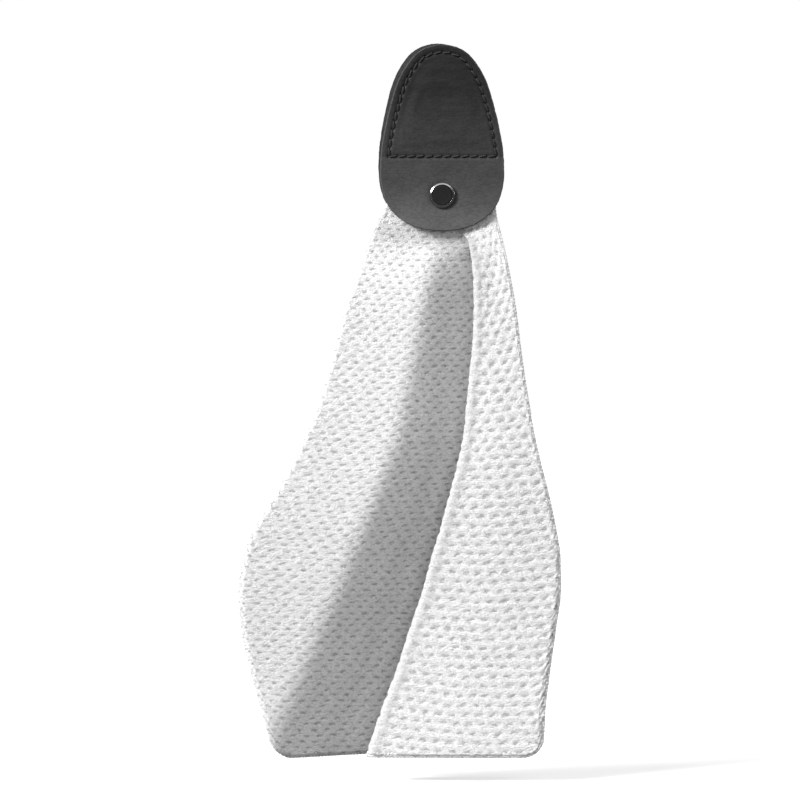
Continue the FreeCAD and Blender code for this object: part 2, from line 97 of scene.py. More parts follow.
# Right half of the patch outline, top to bottom: (x, z)
OUTLINE = [
    (0.0, 32.0), (5.0, 31.35), (9.0, 29.9), (12.9, 27.2), (16.5, 23.0),
    (19.6, 18.0), (21.9, 13.0), (24.2, 5.5), (26.2, -2.0), (27.85, -9.5),
    (29.15, -17.0), (29.85, -24.5), (30.0, -29.5), (29.7, -34.5),
    (28.75, -39.5), (26.9, -44.5), (23.5, -49.4), (20.6, -52.0),
    (16.6, -54.6), (10.4, -57.0), (0.0, -58.2),
]
HALF_WIDTH = max(x for x, z in OUTLINE)
TOP_Z, BOTTOM_Z = OUTLINE[0][1], OUTLINE[-1][1]

# The rim of the rear ply sits slightly askew
REAR_SKEW, REAR_SHIFT_X, REAR_SHIFT_Z = math.radians(2.0), -1.0, 0.9


# ------------------------------------------------------------------ curves and noise
def smooth(k):
    """Fifth-power ease from 0 to 1."""
    k = np.clip(k, 0.0, 1.0)
    return k * k * k * (k * (6 * k - 15) + 10)


def ease(start, end, x):
    """0 at start, 1 at end, eased at both; start may be the larger."""
    k = np.clip((x - start) / (end - start), 0.0, 1.0)
    return k * k * (3 - 2 * k)


def bell(x, width, center=0.0):
    return np.exp(-((x - center) / width) ** 2)


def table(points, at):
    """Monotone cubic reading of a table of (position, value)."""
    xs, ys = np.array(points, float).T
    slope = np.diff(ys) / np.diff(xs)
    tangent = np.zeros(len(xs))
    tangent[0], tangent[-1] = slope[0], slope[-1]
    for j in range(1, len(xs) - 1):
        before, after = slope[j - 1], slope[j]
        tangent[j] = 0.0 if before * after <= 0 else 2 * before * after / (before + after)
    at = np.clip(np.asarray(at, float), xs[0], xs[-1])
    i = np.clip(np.searchsorted(xs, at, side="right") - 1, 0, len(xs) - 2)
    span = xs[i + 1] - xs[i]
    k = (at - xs[i]) / span
    return ((2 * k ** 3 - 3 * k ** 2 + 1) * ys[i]
            + (k ** 3 - 2 * k ** 2 + k) * tangent[i] * span
            + (-2 * k ** 3 + 3 * k ** 2) * ys[i + 1]
            + (k ** 3 - k ** 2) * tangent[i + 1] * span)


def lattice(ix, iy, iz, seed):
    """Repeatable random value in -1..1 for each whole-numbered point."""
    n = (ix.astype(np.int64) * 374761393 + iy.astype(np.int64) * 668265263
         + iz.astype(np.int64) * 1440662683 + seed * 974634777) & 0xFFFFFFFF
    n = ((n ^ (n >> 13)) * 1274126177) & 0xFFFFFFFF
    n = n ^ (n >> 16)
    return (n & 0xFFFFFF) / float(0x7FFFFF) - 1.0


def noise(x, y, z, seed):
    """Smooth value noise in -1..1; the factors callers put on x, y, z set its fineness."""
    point = np.broadcast_arrays(*(np.asarray(v, float) for v in (x, y, z)))
    cell = [np.floor(v) for v in point]
    inside = [v - c for v, c in zip(point, cell)]
    inside = [f * f * (3 - 2 * f) for f in inside]
    total = 0.0
    for corner in itertools.product((0, 1), repeat=3):
        weight = 1.0
        for side, f in zip(corner, inside):
            weight = weight * (f if side else 1 - f)
        total = total + weight * lattice(*(c + side for c, side in zip(cell, corner)), seed)
    return total


def run_length(points):
    """Length along a polyline up to each of its points."""
    steps = np.linalg.norm(np.diff(points, axis=0), axis=1)
    return np.concatenate([[0], np.cumsum(steps)])


def resample(path, count):
    """The same (x, z) path with evenly spaced points."""
    along = run_length(path)
    even = np.linspace(0, along[-1], count)
    return np.stack([np.interp(even, along, path[:, i]) for i in (0, 1)], 1)


# ------------------------------------------------------------------ mesh helpers
def make_mesh(name, verts, faces, materials, face_materials=None, attributes=None):
    """Smooth-shaded object from vertices in mm, with float attributes per vertex."""
    mesh = bpy.data.meshes.new(name)
    faces = [tuple(int(i) for i in face) for face in faces]
    mesh.from_pydata((np.asarray(verts, float) * MM).tolist(), [], faces)
    mesh.validate(verbose=False)
    for material in materials:
        mesh.materials.append(material)
    # validate may drop faces, and the list would then no longer fit
    if face_materials is not None and len(mesh.polygons) == len(face_materials):
        mesh.polygons.foreach_set("material_index", np.asarray(face_materials, np.int32))
    mesh.polygons.foreach_set("use_smooth", np.full(len(mesh.polygons), True))
    for key, values in (attributes or {}).items():
        attribute = mesh.attributes.new(key, "FLOAT", "POINT")
        attribute.data.foreach_set("value", np.asarray(values, np.float32))
    mesh.update()
    ob = bpy.data.objects.new(name, mesh)
    bpy.context.scene.collection.objects.link(ob)
    return ob


def clean(ob, weld=None):
    """Makes the normals agree, first joining vertices closer than weld (metres) if given."""
    bm = bmesh.new()
    bm.from_mesh(ob.data)
    if weld is not None:
        bmesh.ops.remove_doubles(bm, verts=bm.verts, dist=weld)
        bmesh.ops.dissolve_degenerate(bm, edges=bm.edges, dist=1e-7)
    bmesh.ops.recalc_face_normals(bm, faces=bm.faces)
    bm.to_mesh(ob.data)
    bm.free()
    ob.data.update()


def tube_faces(rows, sides, start=0, capped=True):
    """Quads from each ring of vertices to the next, and a face over each end if capped."""
    ring = start + np.arange(rows * sides).reshape(rows, sides)
    after = np.roll(ring, -1, 1)
    quads = np.stack([ring[:-1], after[:-1], after[1:], ring[1:]], -1)
    faces = quads.reshape(-1, 4).tolist()
    if capped:
        faces += [ring[0, ::-1].tolist(), ring[-1].tolist()]
    return faces


def register(ob, body, *replaced, slot):
    """Tells the frame what the piece moves with and hides the CAD nodes it replaces; slot is not
    used.
    """
    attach(ob, body)
    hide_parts(*replaced)


# ------------------------------------------------------------------ shader helpers
def fill(tree, target, values):
    """Links sockets and sets plain values on a node's inputs."""
    for key, value in values.items():
        if isinstance(value, bpy.types.NodeSocket):
            tree.links.new(value, target.inputs[key])
        else:
            target.inputs[key].default_value = value


def node(tree, kind, values=None, **props):
    made = tree.nodes.new(kind)
    for key, value in props.items():
        setattr(made, key, value)
    fill(tree, made, values or {})
    return made


def smooth_range(tree, value, source, result):
    """Maps the range source = (min, max) to result, eased at both ends."""
    values = {"Value": value, "From Min": source[0], "From Max": source[1],
              "To Min": result[0], "To Max": result[1]}
    made = node(tree, "ShaderNodeMapRange", values, interpolation_type="SMOOTHSTEP")
    return made.outputs["Result"]


class Material:
    """A material under construction round one Principled shader."""

    def __init__(self, name):
        self.block = bpy.data.materials.new(name)
        self.block.use_nodes = True
        self.tree = self.block.node_tree
        self.tree.nodes.clear()
        output = self.node("ShaderNodeOutputMaterial")
        self.shader = self.node("ShaderNodeBsdfPrincipled")
        self.tree.links.new(self.shader.outputs[0], output.inputs[0])

    def node(self, kind, values=None, **props):
        return node(self.tree, kind, values, **props)

    def coords(self, scale=(1, 1, 1), rotation=(0, 0, 0)):
        """Object coordinates, stretched and turned."""
        source = self.node("ShaderNodeTexCoord").outputs["Object"]
        values = {"Vector": source, "Scale": scale, "Rotation": rotation}
        return self.node("ShaderNodeMapping", values).outputs["Vector"]

    def attribute(self, name):
        return self.node("ShaderNodeAttribute", attribute_name=name).outputs["Fac"]

    def noise(self, at, scale, detail=4.0, roughness=0.55, distortion=0.0):
        values = {"Vector": at, "Scale": scale, "Detail": detail,
                  "Roughness": roughness, "Distortion": distortion}
        return self.node("ShaderNodeTexNoise", values).outputs["Fac"]

    def voronoi(self, at, scale, feature="F1"):
        values = {"Vector": at, "Scale": scale}
        return self.node("ShaderNodeTexVoronoi", values, feature=feature).outputs["Distance"]

    def ramp(self, factor, *stops):
        """Colour ramp; each stop is (position, grey or RGB)."""
        made = self.node("ShaderNodeValToRGB", {"Fac": factor})
        elements = made.color_ramp.elements
        while len(elements) < len(stops):
            elements.new(0.5)
        for element, (position, color) in zip(elements, stops):
            element.position = position
            element.color = (*color, 1) if isinstance(color, tuple) else (color,) * 3 + (1,)
        return made.outputs["Color"]

    def math(self, operation, *operands):
        values = dict(enumerate(operands))
        return self.node("ShaderNodeMath", values, operation=operation).outputs[0]

    def mix(self, first, second, blend="MULTIPLY", factor=1.0):
        values = {"Factor": factor, 6: first, 7: second}
        made = self.node("ShaderNodeMix", values, data_type="RGBA", blend_type=blend)
        return made.outputs[2]

    def scaled(self, color, by):
        values = {0: color, "Scale": by}
        return self.node("ShaderNodeVectorMath", values, operation="SCALE").outputs[0]

    def bump(self, height, distance, strength, over=None):
        """Bump normal, laid over an earlier one if given."""
        values = {"Height": height, "Distance": distance, "Strength": strength}
        if over is not None:
            values["Normal"] = over
        return self.node("ShaderNodeBump", values).outputs["Normal"]

    def finish(self, values):
        fill(self.tree, self.shader, values)
        return self.block


# ------------------------------------------------------------------ materials
def grain_leather():
    """Charcoal pebbled leather: fine grain, soft creases across the patch, slight polish."""
    mat = Material("charcoal_hide")
    at = mat.coords()
    across = mat.coords(scale=(0.38, 1.0, 1.0))
    broad = mat.noise(at, scale=45.0, detail=3.0)
    mottle = mat.noise(at, scale=240.0)
    pebble = mat.voronoi(at, scale=1150.0)
    crack = mat.voronoi(across, scale=720.0, feature="DISTANCE_TO_EDGE")
    crease = mat.noise(mat.coords(scale=(0.25, 1.0, 1.6)), scale=900.0, detail=3.0,
                       roughness=0.6, distortion=0.4)
    color = mat.ramp(broad, (0.30, (0.0205, 0.0205, 0.0209)), (0.70, (0.0244, 0.0244, 0.0248)))
    color = mat.mix(color, mat.ramp(mottle, (0.35, 0.93), (0.75, 1.06)))
    color = mat.mix(color, mat.ramp(crack, (0.0, 0.72), (0.09, 1.0)))
    # tone is painted light and shade on the front ply, darker over the pocket and brighter down
    # the flap; wear greys the rim
    # the needle-hole attribute is painted shade in the needle holes and along the seam
    hole_shade = mat.math("MULTIPLY", mat.attribute("stitch_shade"), 0.85)
    painted_light_gain = mat.math("MULTIPLY", mat.attribute("tone"), mat.math("SUBTRACT", 1.0, hole_shade))
    worn = mat.math("MULTIPLY", mat.attribute("wear"), 0.40)
    color = mat.mix(mat.scaled(color, painted_light_gain), (0.115, 0.115, 0.117, 1), blend="MIX", factor=worn)
    normal = mat.bump(crack, distance=0.00010, strength=0.55)
    normal = mat.bump(pebble, distance=0.00006, strength=0.45, over=normal)
    normal = mat.bump(crease, distance=0.00016, strength=0.26, over=normal)
    normal = mat.bump(mottle, distance=0.00026, strength=0.14, over=normal)
    return mat.finish({"Base Color": color, "Normal": normal, "Specular IOR Level": 0.22,
                       "Roughness": mat.ramp(mottle, (0.3, 0.50), (0.75, 0.64))})


def fibrous(name, fibre, colors, mottle_scale, mottle, roughness, bump, sheen=0.0, stretch=None):
    """Matt fibres: fine noise sets colour stops and relief, broad noise dims it by mottle."""
    mat = Material(name)
    at = mat.coords()
    fibres = mat.noise(mat.coords(scale=stretch) if stretch else at, **fibre)
    broad = mat.noise(at, scale=mottle_scale, detail=3.0)
    shade = mat.ramp(broad, (0.3, mottle[0]), (0.7, mottle[1]))
    return mat.finish({"Base Color": mat.mix(mat.ramp(fibres, *colors), shade),
                       "Roughness": roughness, "Sheen Weight": sheen,
                       "Normal": mat.bump(fibres, **bump)})


def foam():
    mat = Material("black_foam")
    cell = mat.voronoi(mat.coords(), scale=2600.0)
    return mat.finish({"Base Color": mat.ramp(cell, (0.0, 0.006), (0.8, 0.030)),
                       "Roughness": 0.92,
                       "Normal": mat.bump(cell, distance=0.0003, strength=0.8)})


def metal(name, dark, light, roughness, scale=500.0, anisotropic=0.0):
    """Metal between two tones, with fine noise in its roughness (low, high) and relief."""
    mat = Material(name)
    at = mat.coords()
    fine = mat.noise(at, scale=scale, detail=5.0, roughness=0.6)
    broad = mat.noise(at, scale=60.0, detail=3.0)
    return mat.finish({"Base Color": mat.ramp(broad, (0.3, dark), (0.7, light)),
                       "Metallic": 1.0, "Anisotropic": anisotropic,
                       "Roughness": mat.ramp(fine, (0.3, roughness[0]), (0.7, roughness[1])),
                       "Normal": mat.bump(fine, distance=0.00001, strength=0.5)})


def cap_enamel():
    """Satin black enamel with faint orange peel and hairline scratches."""
    mat = Material("cap_black_enamel")
    peel = mat.noise(mat.coords(), scale=900.0, detail=3.0)
    scratches = mat.noise(mat.coords(scale=(9.0, 1.0, 0.5), rotation=(0, 0.6, 0)),
                          scale=500.0, detail=2.0)
    color = mat.ramp(peel, (0.3, (0.0065, 0.0065, 0.0068)), (0.75, (0.0105, 0.0105, 0.0108)))
    return mat.finish({"Base Color": color,
                       "Roughness": mat.ramp(scratches, (0.35, 0.42), (0.7, 0.56)),
                       "Specular IOR Level": 0.32, "Coat Weight": 0.04, "Coat Roughness": 0.25,
                       "Normal": mat.bump(peel, distance=0.00002, strength=0.5)})


DASH_SLANT = 0.26       # rows each dash of the weave climbs per column


def terry_loops(mat):
    """Slanting loop noise, shared by the cloth and its overlock thread."""
    return mat.noise(mat.coords(scale=(1.0, 1.0, 2.3), rotation=(0, 0.30, 0)), scale=620.0,
                     roughness=0.62, distortion=0.6)


def towel_weave():
    """White microfibre. The dash-shaped dents of the weave are drawn in cloth coordinates, with
    ragged outlines, as bump and as painted shade; loops and lint lie over them at a slant."""
    mat = Material("waffle_microfibre")
    add, less, times, over = (partial(mat.math, operation)
                              for operation in ("ADD", "SUBTRACT", "MULTIPLY", "DIVIDE"))
    at = mat.coords()
    loops = terry_loops(mat)
    pile = mat.noise(at, scale=1150.0, roughness=0.66, distortion=0.2)
    turned = mat.coords(rotation=(0.5, 0.2, 0.9))

    # cloth coordinates, wandering a little
    sway = less(mat.noise(at, scale=330.0, detail=2.0), 0.5)
    drift = less(mat.noise(turned, scale=300.0, detail=2.0), 0.5)
    across = add(mat.attribute("cu"), times(sway, 0.34))
    wander = add(times(less(loops, 0.5), 0.62), times(drift, 0.42))
    down = add(mat.attribute("cv"), wander)

    # distance from the nearest dash centre; every other row is half a column over
    row = mat.math("ROUND", down)
    column = add(across, times(mat.math("PINGPONG", row, 1.0), 0.5))
    off_column = less(column, mat.math("ROUND", column))
    off_row = add(less(down, row), times(off_column, DASH_SLANT))
    wide = over(off_column, mat.attribute("wd"))
    high = over(off_row, mat.attribute("hv"))
    radius = mat.math("SQRT", add(times(wide, wide), times(high, high)))
    fray = mat.noise(mat.coords(scale=(1.0, 1.0, 2.0), rotation=(0, -0.30, 0)), scale=620.0,
                     detail=3.0, roughness=0.6, distortion=0.3)
    radius = add(radius, times(less(fray, 0.5), 1.1))
    dash = smooth_range(mat.tree, radius, source=(1.30, 0.35), result=(0.0, 1.0))
    dash = times(dash, mat.attribute("loft"))

    # painted shade: the dents are darker than the rest of the weave
    color = mat.ramp(dash, (0.0, (0.94, 0.94, 0.938)), (0.5, 0.83), (1.0, (0.57, 0.57, 0.573)))
    # painted shade: a little greyer along the fold of the pleat
    color = mat.scaled(color, less(1.0, times(mat.attribute("turn"), 0.24)))
    color = mat.mix(color, mat.ramp(loops, (0.36, 0.78), (0.54, 1.03)))
    color = mat.mix(color, mat.ramp(pile, (0.34, 0.86), (0.60, 1.02)))
    normal = mat.bump(less(1.0, dash), distance=0.0005, strength=0.35)
    normal = mat.bump(pile, distance=0.0009, strength=0.45, over=normal)
    normal = mat.bump(loops, distance=0.0015, strength=0.55, over=normal)
    return mat.finish({"Base Color": color, "Normal": normal, "Roughness": 0.97,
                       "Specular IOR Level": 0.08, "Sheen Weight": 0.10,
                       "Sheen Roughness": 0.5})


def overlock_thread():
    """Overlock thread over the cloth edge: the colour of the cloth, with painted shade between its
    loops.
    """
    loop_length, wander = 5.7, 0.9      # mm along the hem; share of a loop
    mat = Material("white_overlock_thread")
    fibres = terry_loops(mat)
    uneven = mat.math("SUBTRACT", mat.noise(mat.coords(), scale=240.0, detail=2.0), 0.5)
    phase = mat.math("ADD", mat.math("DIVIDE", mat.attribute("run"), loop_length),
                     mat.math("MULTIPLY", uneven, wander))
    wave = mat.math("MULTIPLY", mat.math("PINGPONG", phase, 0.5), 2.0)
    color = mat.ramp(wave, (0.0, (0.62, 0.62, 0.625)), (0.30, 0.90), (1.0, 0.93))
    color = mat.mix(color, mat.ramp(fibres, (0.32, 0.80), (0.58, 1.0)))
    return mat.finish({"Base Color": color, "Roughness": 0.95, "Specular IOR Level": 0.10,
                       "Normal": mat.bump(fibres, distance=0.0009, strength=0.6)})


def pale_floor():
    mat = Material("pale_floor")
    tone = mat.ramp(mat.noise(mat.coords(), scale=8.0, detail=3.0), (0.3, 0.92), (0.7, 0.94))
    return mat.finish({"Base Color": tone, "Emission Color": tone, "Emission Strength": 0.16,
                       "Roughness": 1.0, "Specular IOR Level": 0.0})


HIDE = grain_leather()
CUT_EDGE = fibrous(
    "hide_cut_edge", fibre=dict(scale=1400.0, detail=5.0, roughness=0.7), stretch=(1.0, 3.2, 1.0),
    colors=[(0.30, (0.030, 0.030, 0.031)), (0.72, (0.150, 0.150, 0.152))],
    mottle_scale=260.0, mottle=(0.75, 1.1), roughness=0.9,
    bump=dict(distance=0.0003, strength=0.9))
BACKING = fibrous(
    "hide_backing", fibre=dict(scale=900.0, detail=6.0, roughness=0.7),
    colors=[(0.30, (0.020, 0.020, 0.021)), (0.75, (0.070, 0.070, 0.072))],
    mottle_scale=90.0, mottle=(0.8, 1.15), roughness=0.95, sheen=0.25,
    bump=dict(distance=0.0002, strength=0.8))
FOAM = foam()
THREAD = fibrous(
    "charcoal_thread", fibre=dict(scale=2600.0, detail=4.0, roughness=0.65),
    colors=[(0.30, (0.010, 0.010, 0.0103)), (0.72, (0.028, 0.028, 0.0287))],
    mottle_scale=420.0, mottle=(0.85, 1.1), roughness=0.75, sheen=0.04,
    bump=dict(distance=0.00012, strength=0.7))
OVERLOCK = overlock_thread()
TOWEL = towel_weave()
GUNMETAL = metal("gunmetal_plate", dark=(0.20, 0.20, 0.205), light=(0.27, 0.27, 0.275),
                 roughness=(0.10, 0.19))
NICKEL = metal("dull_nickel", dark=(0.34, 0.34, 0.35), light=(0.44, 0.44, 0.45),
               roughness=(0.26, 0.42), scale=700.0, anisotropic=0.5)
SPRING = metal("spring_wire", dark=(0.48, 0.48, 0.47), light=(0.60, 0.60, 0.59),
               roughness=(0.20, 0.34), scale=900.0, anisotropic=0.5)
MAGNET = metal("magnet_nickel", dark=(0.55, 0.55, 0.56), light=(0.66, 0.66, 0.67),
               roughness=(0.18, 0.33), scale=300.0)
ENAMEL = cap_enamel()


# ------------------------------------------------------------------ patch outline and seams
def periodic_spline(points, samples):
    """Closed cubic spline through the points, evenly sampled by chord length."""
    points = np.array(points, float)
    loop = np.vstack([points, points[:1]])
    chord = np.linalg.norm(np.diff(loop, axis=0), axis=1)
    count = len(points)
    system = np.zeros((count, count))
    target = np.zeros((count, 2))
    for i in range(count):
        before, after = chord[i - 1], chord[i]
        system[i, i - 1] += before
        system[i, i] += 2 * (before + after)
        system[i, (i + 1) % count] += after
        target[i] = 6 * ((loop[i + 1] - points[i]) / after
                         - (points[i] - points[i - 1]) / before)
    bend = np.linalg.solve(system, target)      # second derivative at each point
    along = run_length(loop)
    at = np.linspace(0, along[-1], samples, endpoint=False)
    i = np.clip(np.searchsorted(along, at, side="right") - 1, 0, count - 1)
    j = (i + 1) % count
    left = (along[i + 1] - at)[:, None]
    done = (at - along[i])[:, None]
    span = chord[i][:, None]
    return ((bend[i] * left ** 3 + bend[j] * done ** 3) / (6 * span)
            + (points[i] / span - bend[i] * span / 6) * left
            + (points[j] / span - bend[j] * span / 6) * done)


EDGE = periodic_spline(OUTLINE + [(-x, z) for x, z in reversed(OUTLINE[1:-1])], 1600)


def seam_paths():
    """Arch seam (right foot over the top to the left foot) and the straight cross seam."""
    tangent = np.roll(EDGE, -1, 0) - np.roll(EDGE, 1, 0)
    tangent /= np.linalg.norm(tangent, axis=1)[:, None]
    inward = np.stack([-tangent[:, 1], tangent[:, 0]], 1)
    flip = (inward * (np.array([0.0, PATCH_MIDDLE_Z]) - EDGE)).sum(1) < 0
    inward[flip] *= -1
    path = EDGE + inward * SEAM_INSET
    above = path[:, 1] > SEAM_Z
    right = path[above & (path[:, 0] >= 0)]
    left = path[above & (path[:, 0] < 0)]
    right = right[np.argsort(right[:, 1])]
    left = left[np.argsort(-left[:, 1])]
    feet = [right[0][0] + 0.02, SEAM_Z], [left[-1][0] - 0.02, SEAM_Z]
    arch = np.vstack([feet[0], right, left, feet[1]])
    half = arch[0][0]
    cross = np.stack([np.linspace(-half, half, 60), np.full(60, SEAM_Z)], 1)
    return arch, cross


def stitch_holes(path):
    """Needle holes as near to the pitch as fits the path evenly."""
    return resample(path, int(round(run_length(path)[-1] / PITCH)) + 1)


ARCH, CROSS = seam_paths()
ARCH_HOLES, CROSS_HOLES = stitch_holes(ARCH), stitch_holes(CROSS)
HOLES = np.vstack([ARCH_HOLES, CROSS_HOLES[1:-1]])
ARCH_FINE = resample(ARCH, 500)
SEAM_FINE = np.vstack([ARCH_FINE, resample(CROSS, 200)])


# ------------------------------------------------------------------ leather plies
def nearest(points, targets, chunk=6000):
    """Distance from each point to the closest target."""
    result = np.empty(len(points))
    for i in range(0, len(points), chunk):
        gap = points[i:i + chunk, None, :] - targets[None]
        result[i:i + chunk] = np.sqrt((gap * gap).sum(-1).min(1))
    return result


def pocket_depth(points):
    """How far each point is inside the sewn pocket; negative outside it."""
    distance = nearest(points, SEAM_FINE)
    right_side = ARCH_FINE[:250]
    half = np.interp(points[:, 1], right_side[:, 1], right_side[:, 0])
    inside = ((np.abs(points[:, 0]) < half) & (points[:, 1] > SEAM_Z)
              & (points[:, 1] < ARCH_FINE[:, 1].max()))
    return np.where(inside, distance, -distance)


def ply_grid(rows, columns):
    """Grid of (x, z) that fills the outline, closer towards the rim."""
    quarter = math.pi / 2 * 0.86
    across = np.linspace(-1, 1, columns)
    across = np.sin(across * math.pi / 2 * 0.86) / math.sin(quarter)
    turn = np.linspace(0.018, math.pi - 0.018, rows)
    height = (TOP_Z + BOTTOM_Z) / 2 + (TOP_Z - BOTTOM_Z) / 2 * np.cos(turn)
    right = EDGE[EDGE[:, 0] >= -1e-6]
    right = right[np.argsort(right[:, 1])]
    x = np.interp(height, right[:, 1], right[:, 0])[:, None] * across[None, :]
    z = np.broadcast_to(height[:, None], x.shape)
    return np.stack([x.ravel(), z.ravel()], 1)


PLY_ROWS, PLY_COLUMNS = 236, 150
GRID = ply_grid(PLY_ROWS, PLY_COLUMNS)
GRID_X, GRID_Z = GRID[:, 0], GRID[:, 1]
FROM_EDGE = nearest(GRID, EDGE)
FROM_SEAM = nearest(GRID, SEAM_FINE)
FROM_HOLE = nearest(GRID, HOLES)
FROM_SNAP = np.hypot(GRID_X, GRID_Z - SNAP_Z)
POCKET = pocket_depth(GRID)
# where the cloth pushes the lower lip of the front ply out
LIP = ease(-34.0, -58.0, GRID_Z) * ease(29.0, 6.0, np.abs(GRID_X))


def relief(front):
    """Height of the grain face above flat, outwards: fullness, seam groove, needle dimples."""
    x, z = GRID_X, GRID_Z
    swell, strip_lift, groove = (0.55, 0.09, 0.20) if front else (0.0, 0.05, 0.30)
    out = (swell * ease(0.2, 9.0, POCKET) + strip_lift * bell(FROM_SEAM, center=1.9, width=1.0)
           - groove * bell(FROM_SEAM, width=0.85) - 0.75 * bell(FROM_HOLE, width=0.50))
    if front:
        out += 0.22 * ease(18.0, 13.5, np.hypot(x, z))              # the magnet just shows
        out -= 0.30 * bell(FROM_SNAP, center=6.0, width=1.3)        # the cap pulls the hide in
        out += 0.85 * LIP
        # slow waves
        out += 0.10 * noise(x * 0.10, z * 0.16, 0, 5) + 0.05 * noise(x * 0.3, z * 0.5, 0, 6)
        # shallow creases across the hide, strongest above the cross seam
        out += 0.035 * noise(x * 0.09, z * 1.05, 3.0, 8) * ease(-30.0, -16.0, z)
        out += 0.022 * noise(x * 1.1, z * 1.1, 1.0, 9)
        return out
    out -= 0.25 * bell(FROM_SNAP, center=4.6, width=1.2)
    out += 0.05 * noise(x * 0.10, z * 0.16, 7, 5) * ease(-10.0, -26.0, z)
    out += 0.018 * noise(x * 1.1, z * 1.1, 5.0, 9)
    return np.minimum(out, 0.03)


def skew_rim(points):
    """Turns and shifts the rim strip of the rear ply, in place; the rest stays true."""
    cos, sin = math.cos(REAR_SKEW), math.sin(REAR_SKEW)
    x, z = points[:, 0].copy(), points[:, 2] - SEAM_Z
    keep = ease(2.4, 3.3, FROM_EDGE)
    turned_x = x * cos - z * sin + REAR_SHIFT_X
    turned_z = x * sin + z * cos + SEAM_Z + REAR_SHIFT_Z
    points[:, 0] = turned_x * (1 - keep) + x * keep
    points[:, 2] = turned_z * (1 - keep) + (z + SEAM_Z) * keep


def cut_edge_rows(outer, inner):
    """Three ragged rows of points between the rims of the two faces."""
    rows = []
    for j, share in enumerate((0.25, 0.5, 0.75)):
        row = outer * (1 - share) + inner * share
        away = row - np.array([0.0, 0.0, PATCH_MIDDLE_Z])
        away[:, 1] = 0
        away /= np.linalg.norm(away, axis=1)[:, None]
        fray = 0.10 + 0.13 * noise(row[:, 0] * 2.1, row[:, 2] * 2.1, j * 3.1, 21 + j)
        rows.append(row + away * fray[:, None])
    return rows


def ply(name, front):
    """One hide: grain face, ragged cut edge and backing."""
    x, z = GRID_X, GRID_Z
    outward = -1.0 if front else 1.0
    edge_roll = 0.42
    inset = np.clip(FROM_EDGE, 0, edge_roll)
    drop = edge_roll - np.sqrt(np.maximum(0, edge_roll ** 2 - (edge_roll - inset) ** 2))
    outer_y = (FRONT_Y if front else REAR_Y) + outward * (relief(front) - drop * 0.9)
    inner_y = ((FRONT_INNER_Y if front else REAR_INNER_Y)
               + outward * (0.75 * LIP if front else 0.0) - outward * (drop * 0.35))
    wobble = 0.10 * noise(x * 0.5, z * 0.5, 2.0 if front else 4.0, 11) * (FROM_EDGE < 0.3)
    wobbled_x = x * (1 + wobble / HALF_WIDTH)
    outer = np.stack([wobbled_x, outer_y, z], 1)
    inner = np.stack([wobbled_x, inner_y, z], 1)
    if not front:
        skew_rim(outer)
        skew_rim(inner)

    count = len(GRID)
    index = np.arange(count).reshape(PLY_ROWS, PLY_COLUMNS)
    quads = np.stack([index[:-1, :-1], index[:-1, 1:], index[1:, 1:], index[1:, :-1]], -1)
    quads = quads.reshape(-1, 4)
    rim = np.concatenate([index[0, :], index[1:, -1], index[-1, -2::-1], index[-2:0:-1, 0]])
    verts = np.vstack([outer, inner, *cut_edge_rows(outer[rim], inner[rim])])
    middle = [2 * count + j * len(rim) + np.arange(len(rim)) for j in range(3)]
    rows = [rim, *middle, rim + count]
    side = np.vstack([np.stack([a, b, np.roll(b, -1), np.roll(a, -1)], -1)
                      for a, b in zip(rows, rows[1:])])
    faces = np.vstack([quads, quads[:, ::-1] + count, side])
    face_materials = np.repeat([0, 2, 1], [len(quads), len(quads), len(side)])

    wear = np.zeros(len(verts))
    rim_wear = ease(0.9, 0.15, FROM_EDGE) * (0.65 + 0.35 * noise(x * 1.3, z * 1.3, 0, 31))
    wear[:count] = rim_wear + 0.20 * bell(FROM_HOLE, width=0.7)
    wear[2 * count:] = 1.0
    tone = np.ones(len(verts))
    if front:
        # painted light and shade: dark over the pocket, lighter below the cross seam and lighter
        # still towards the bottom of the flap
        below = ease(SEAM_Z + 0.35, SEAM_Z - 0.75, z)
        tone[:count] = (0.68 + 1.02 * ease(15.0, -18.0, z)
                        + below * (0.86 + 2.7 * ease(-30.0, -57.0, z) ** 1.3))
    else:
        tone[:count] = 1.35
    stitch_shade = np.zeros(len(verts))
    # painted shade in the needle holes and along the seam groove
    stitch_shade[:count] = bell(FROM_HOLE, width=0.62) + 0.30 * bell(FROM_SEAM, width=0.55)
    ob = make_mesh(name, verts, faces, [HIDE, CUT_EDGE, BACKING], face_materials,
                   {"wear": wear, "tone": tone, "stitch_shade": np.clip(stitch_shade, 0, 1)})
    clean(ob)
    return ob


for side, face_y in (("front", FRONT_Y), ("rear", REAR_Y)):
    leather = ply(f"{side}_leather", side == "front")
    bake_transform(leather)
    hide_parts(f"{side}_panel", f"{side}_flap")


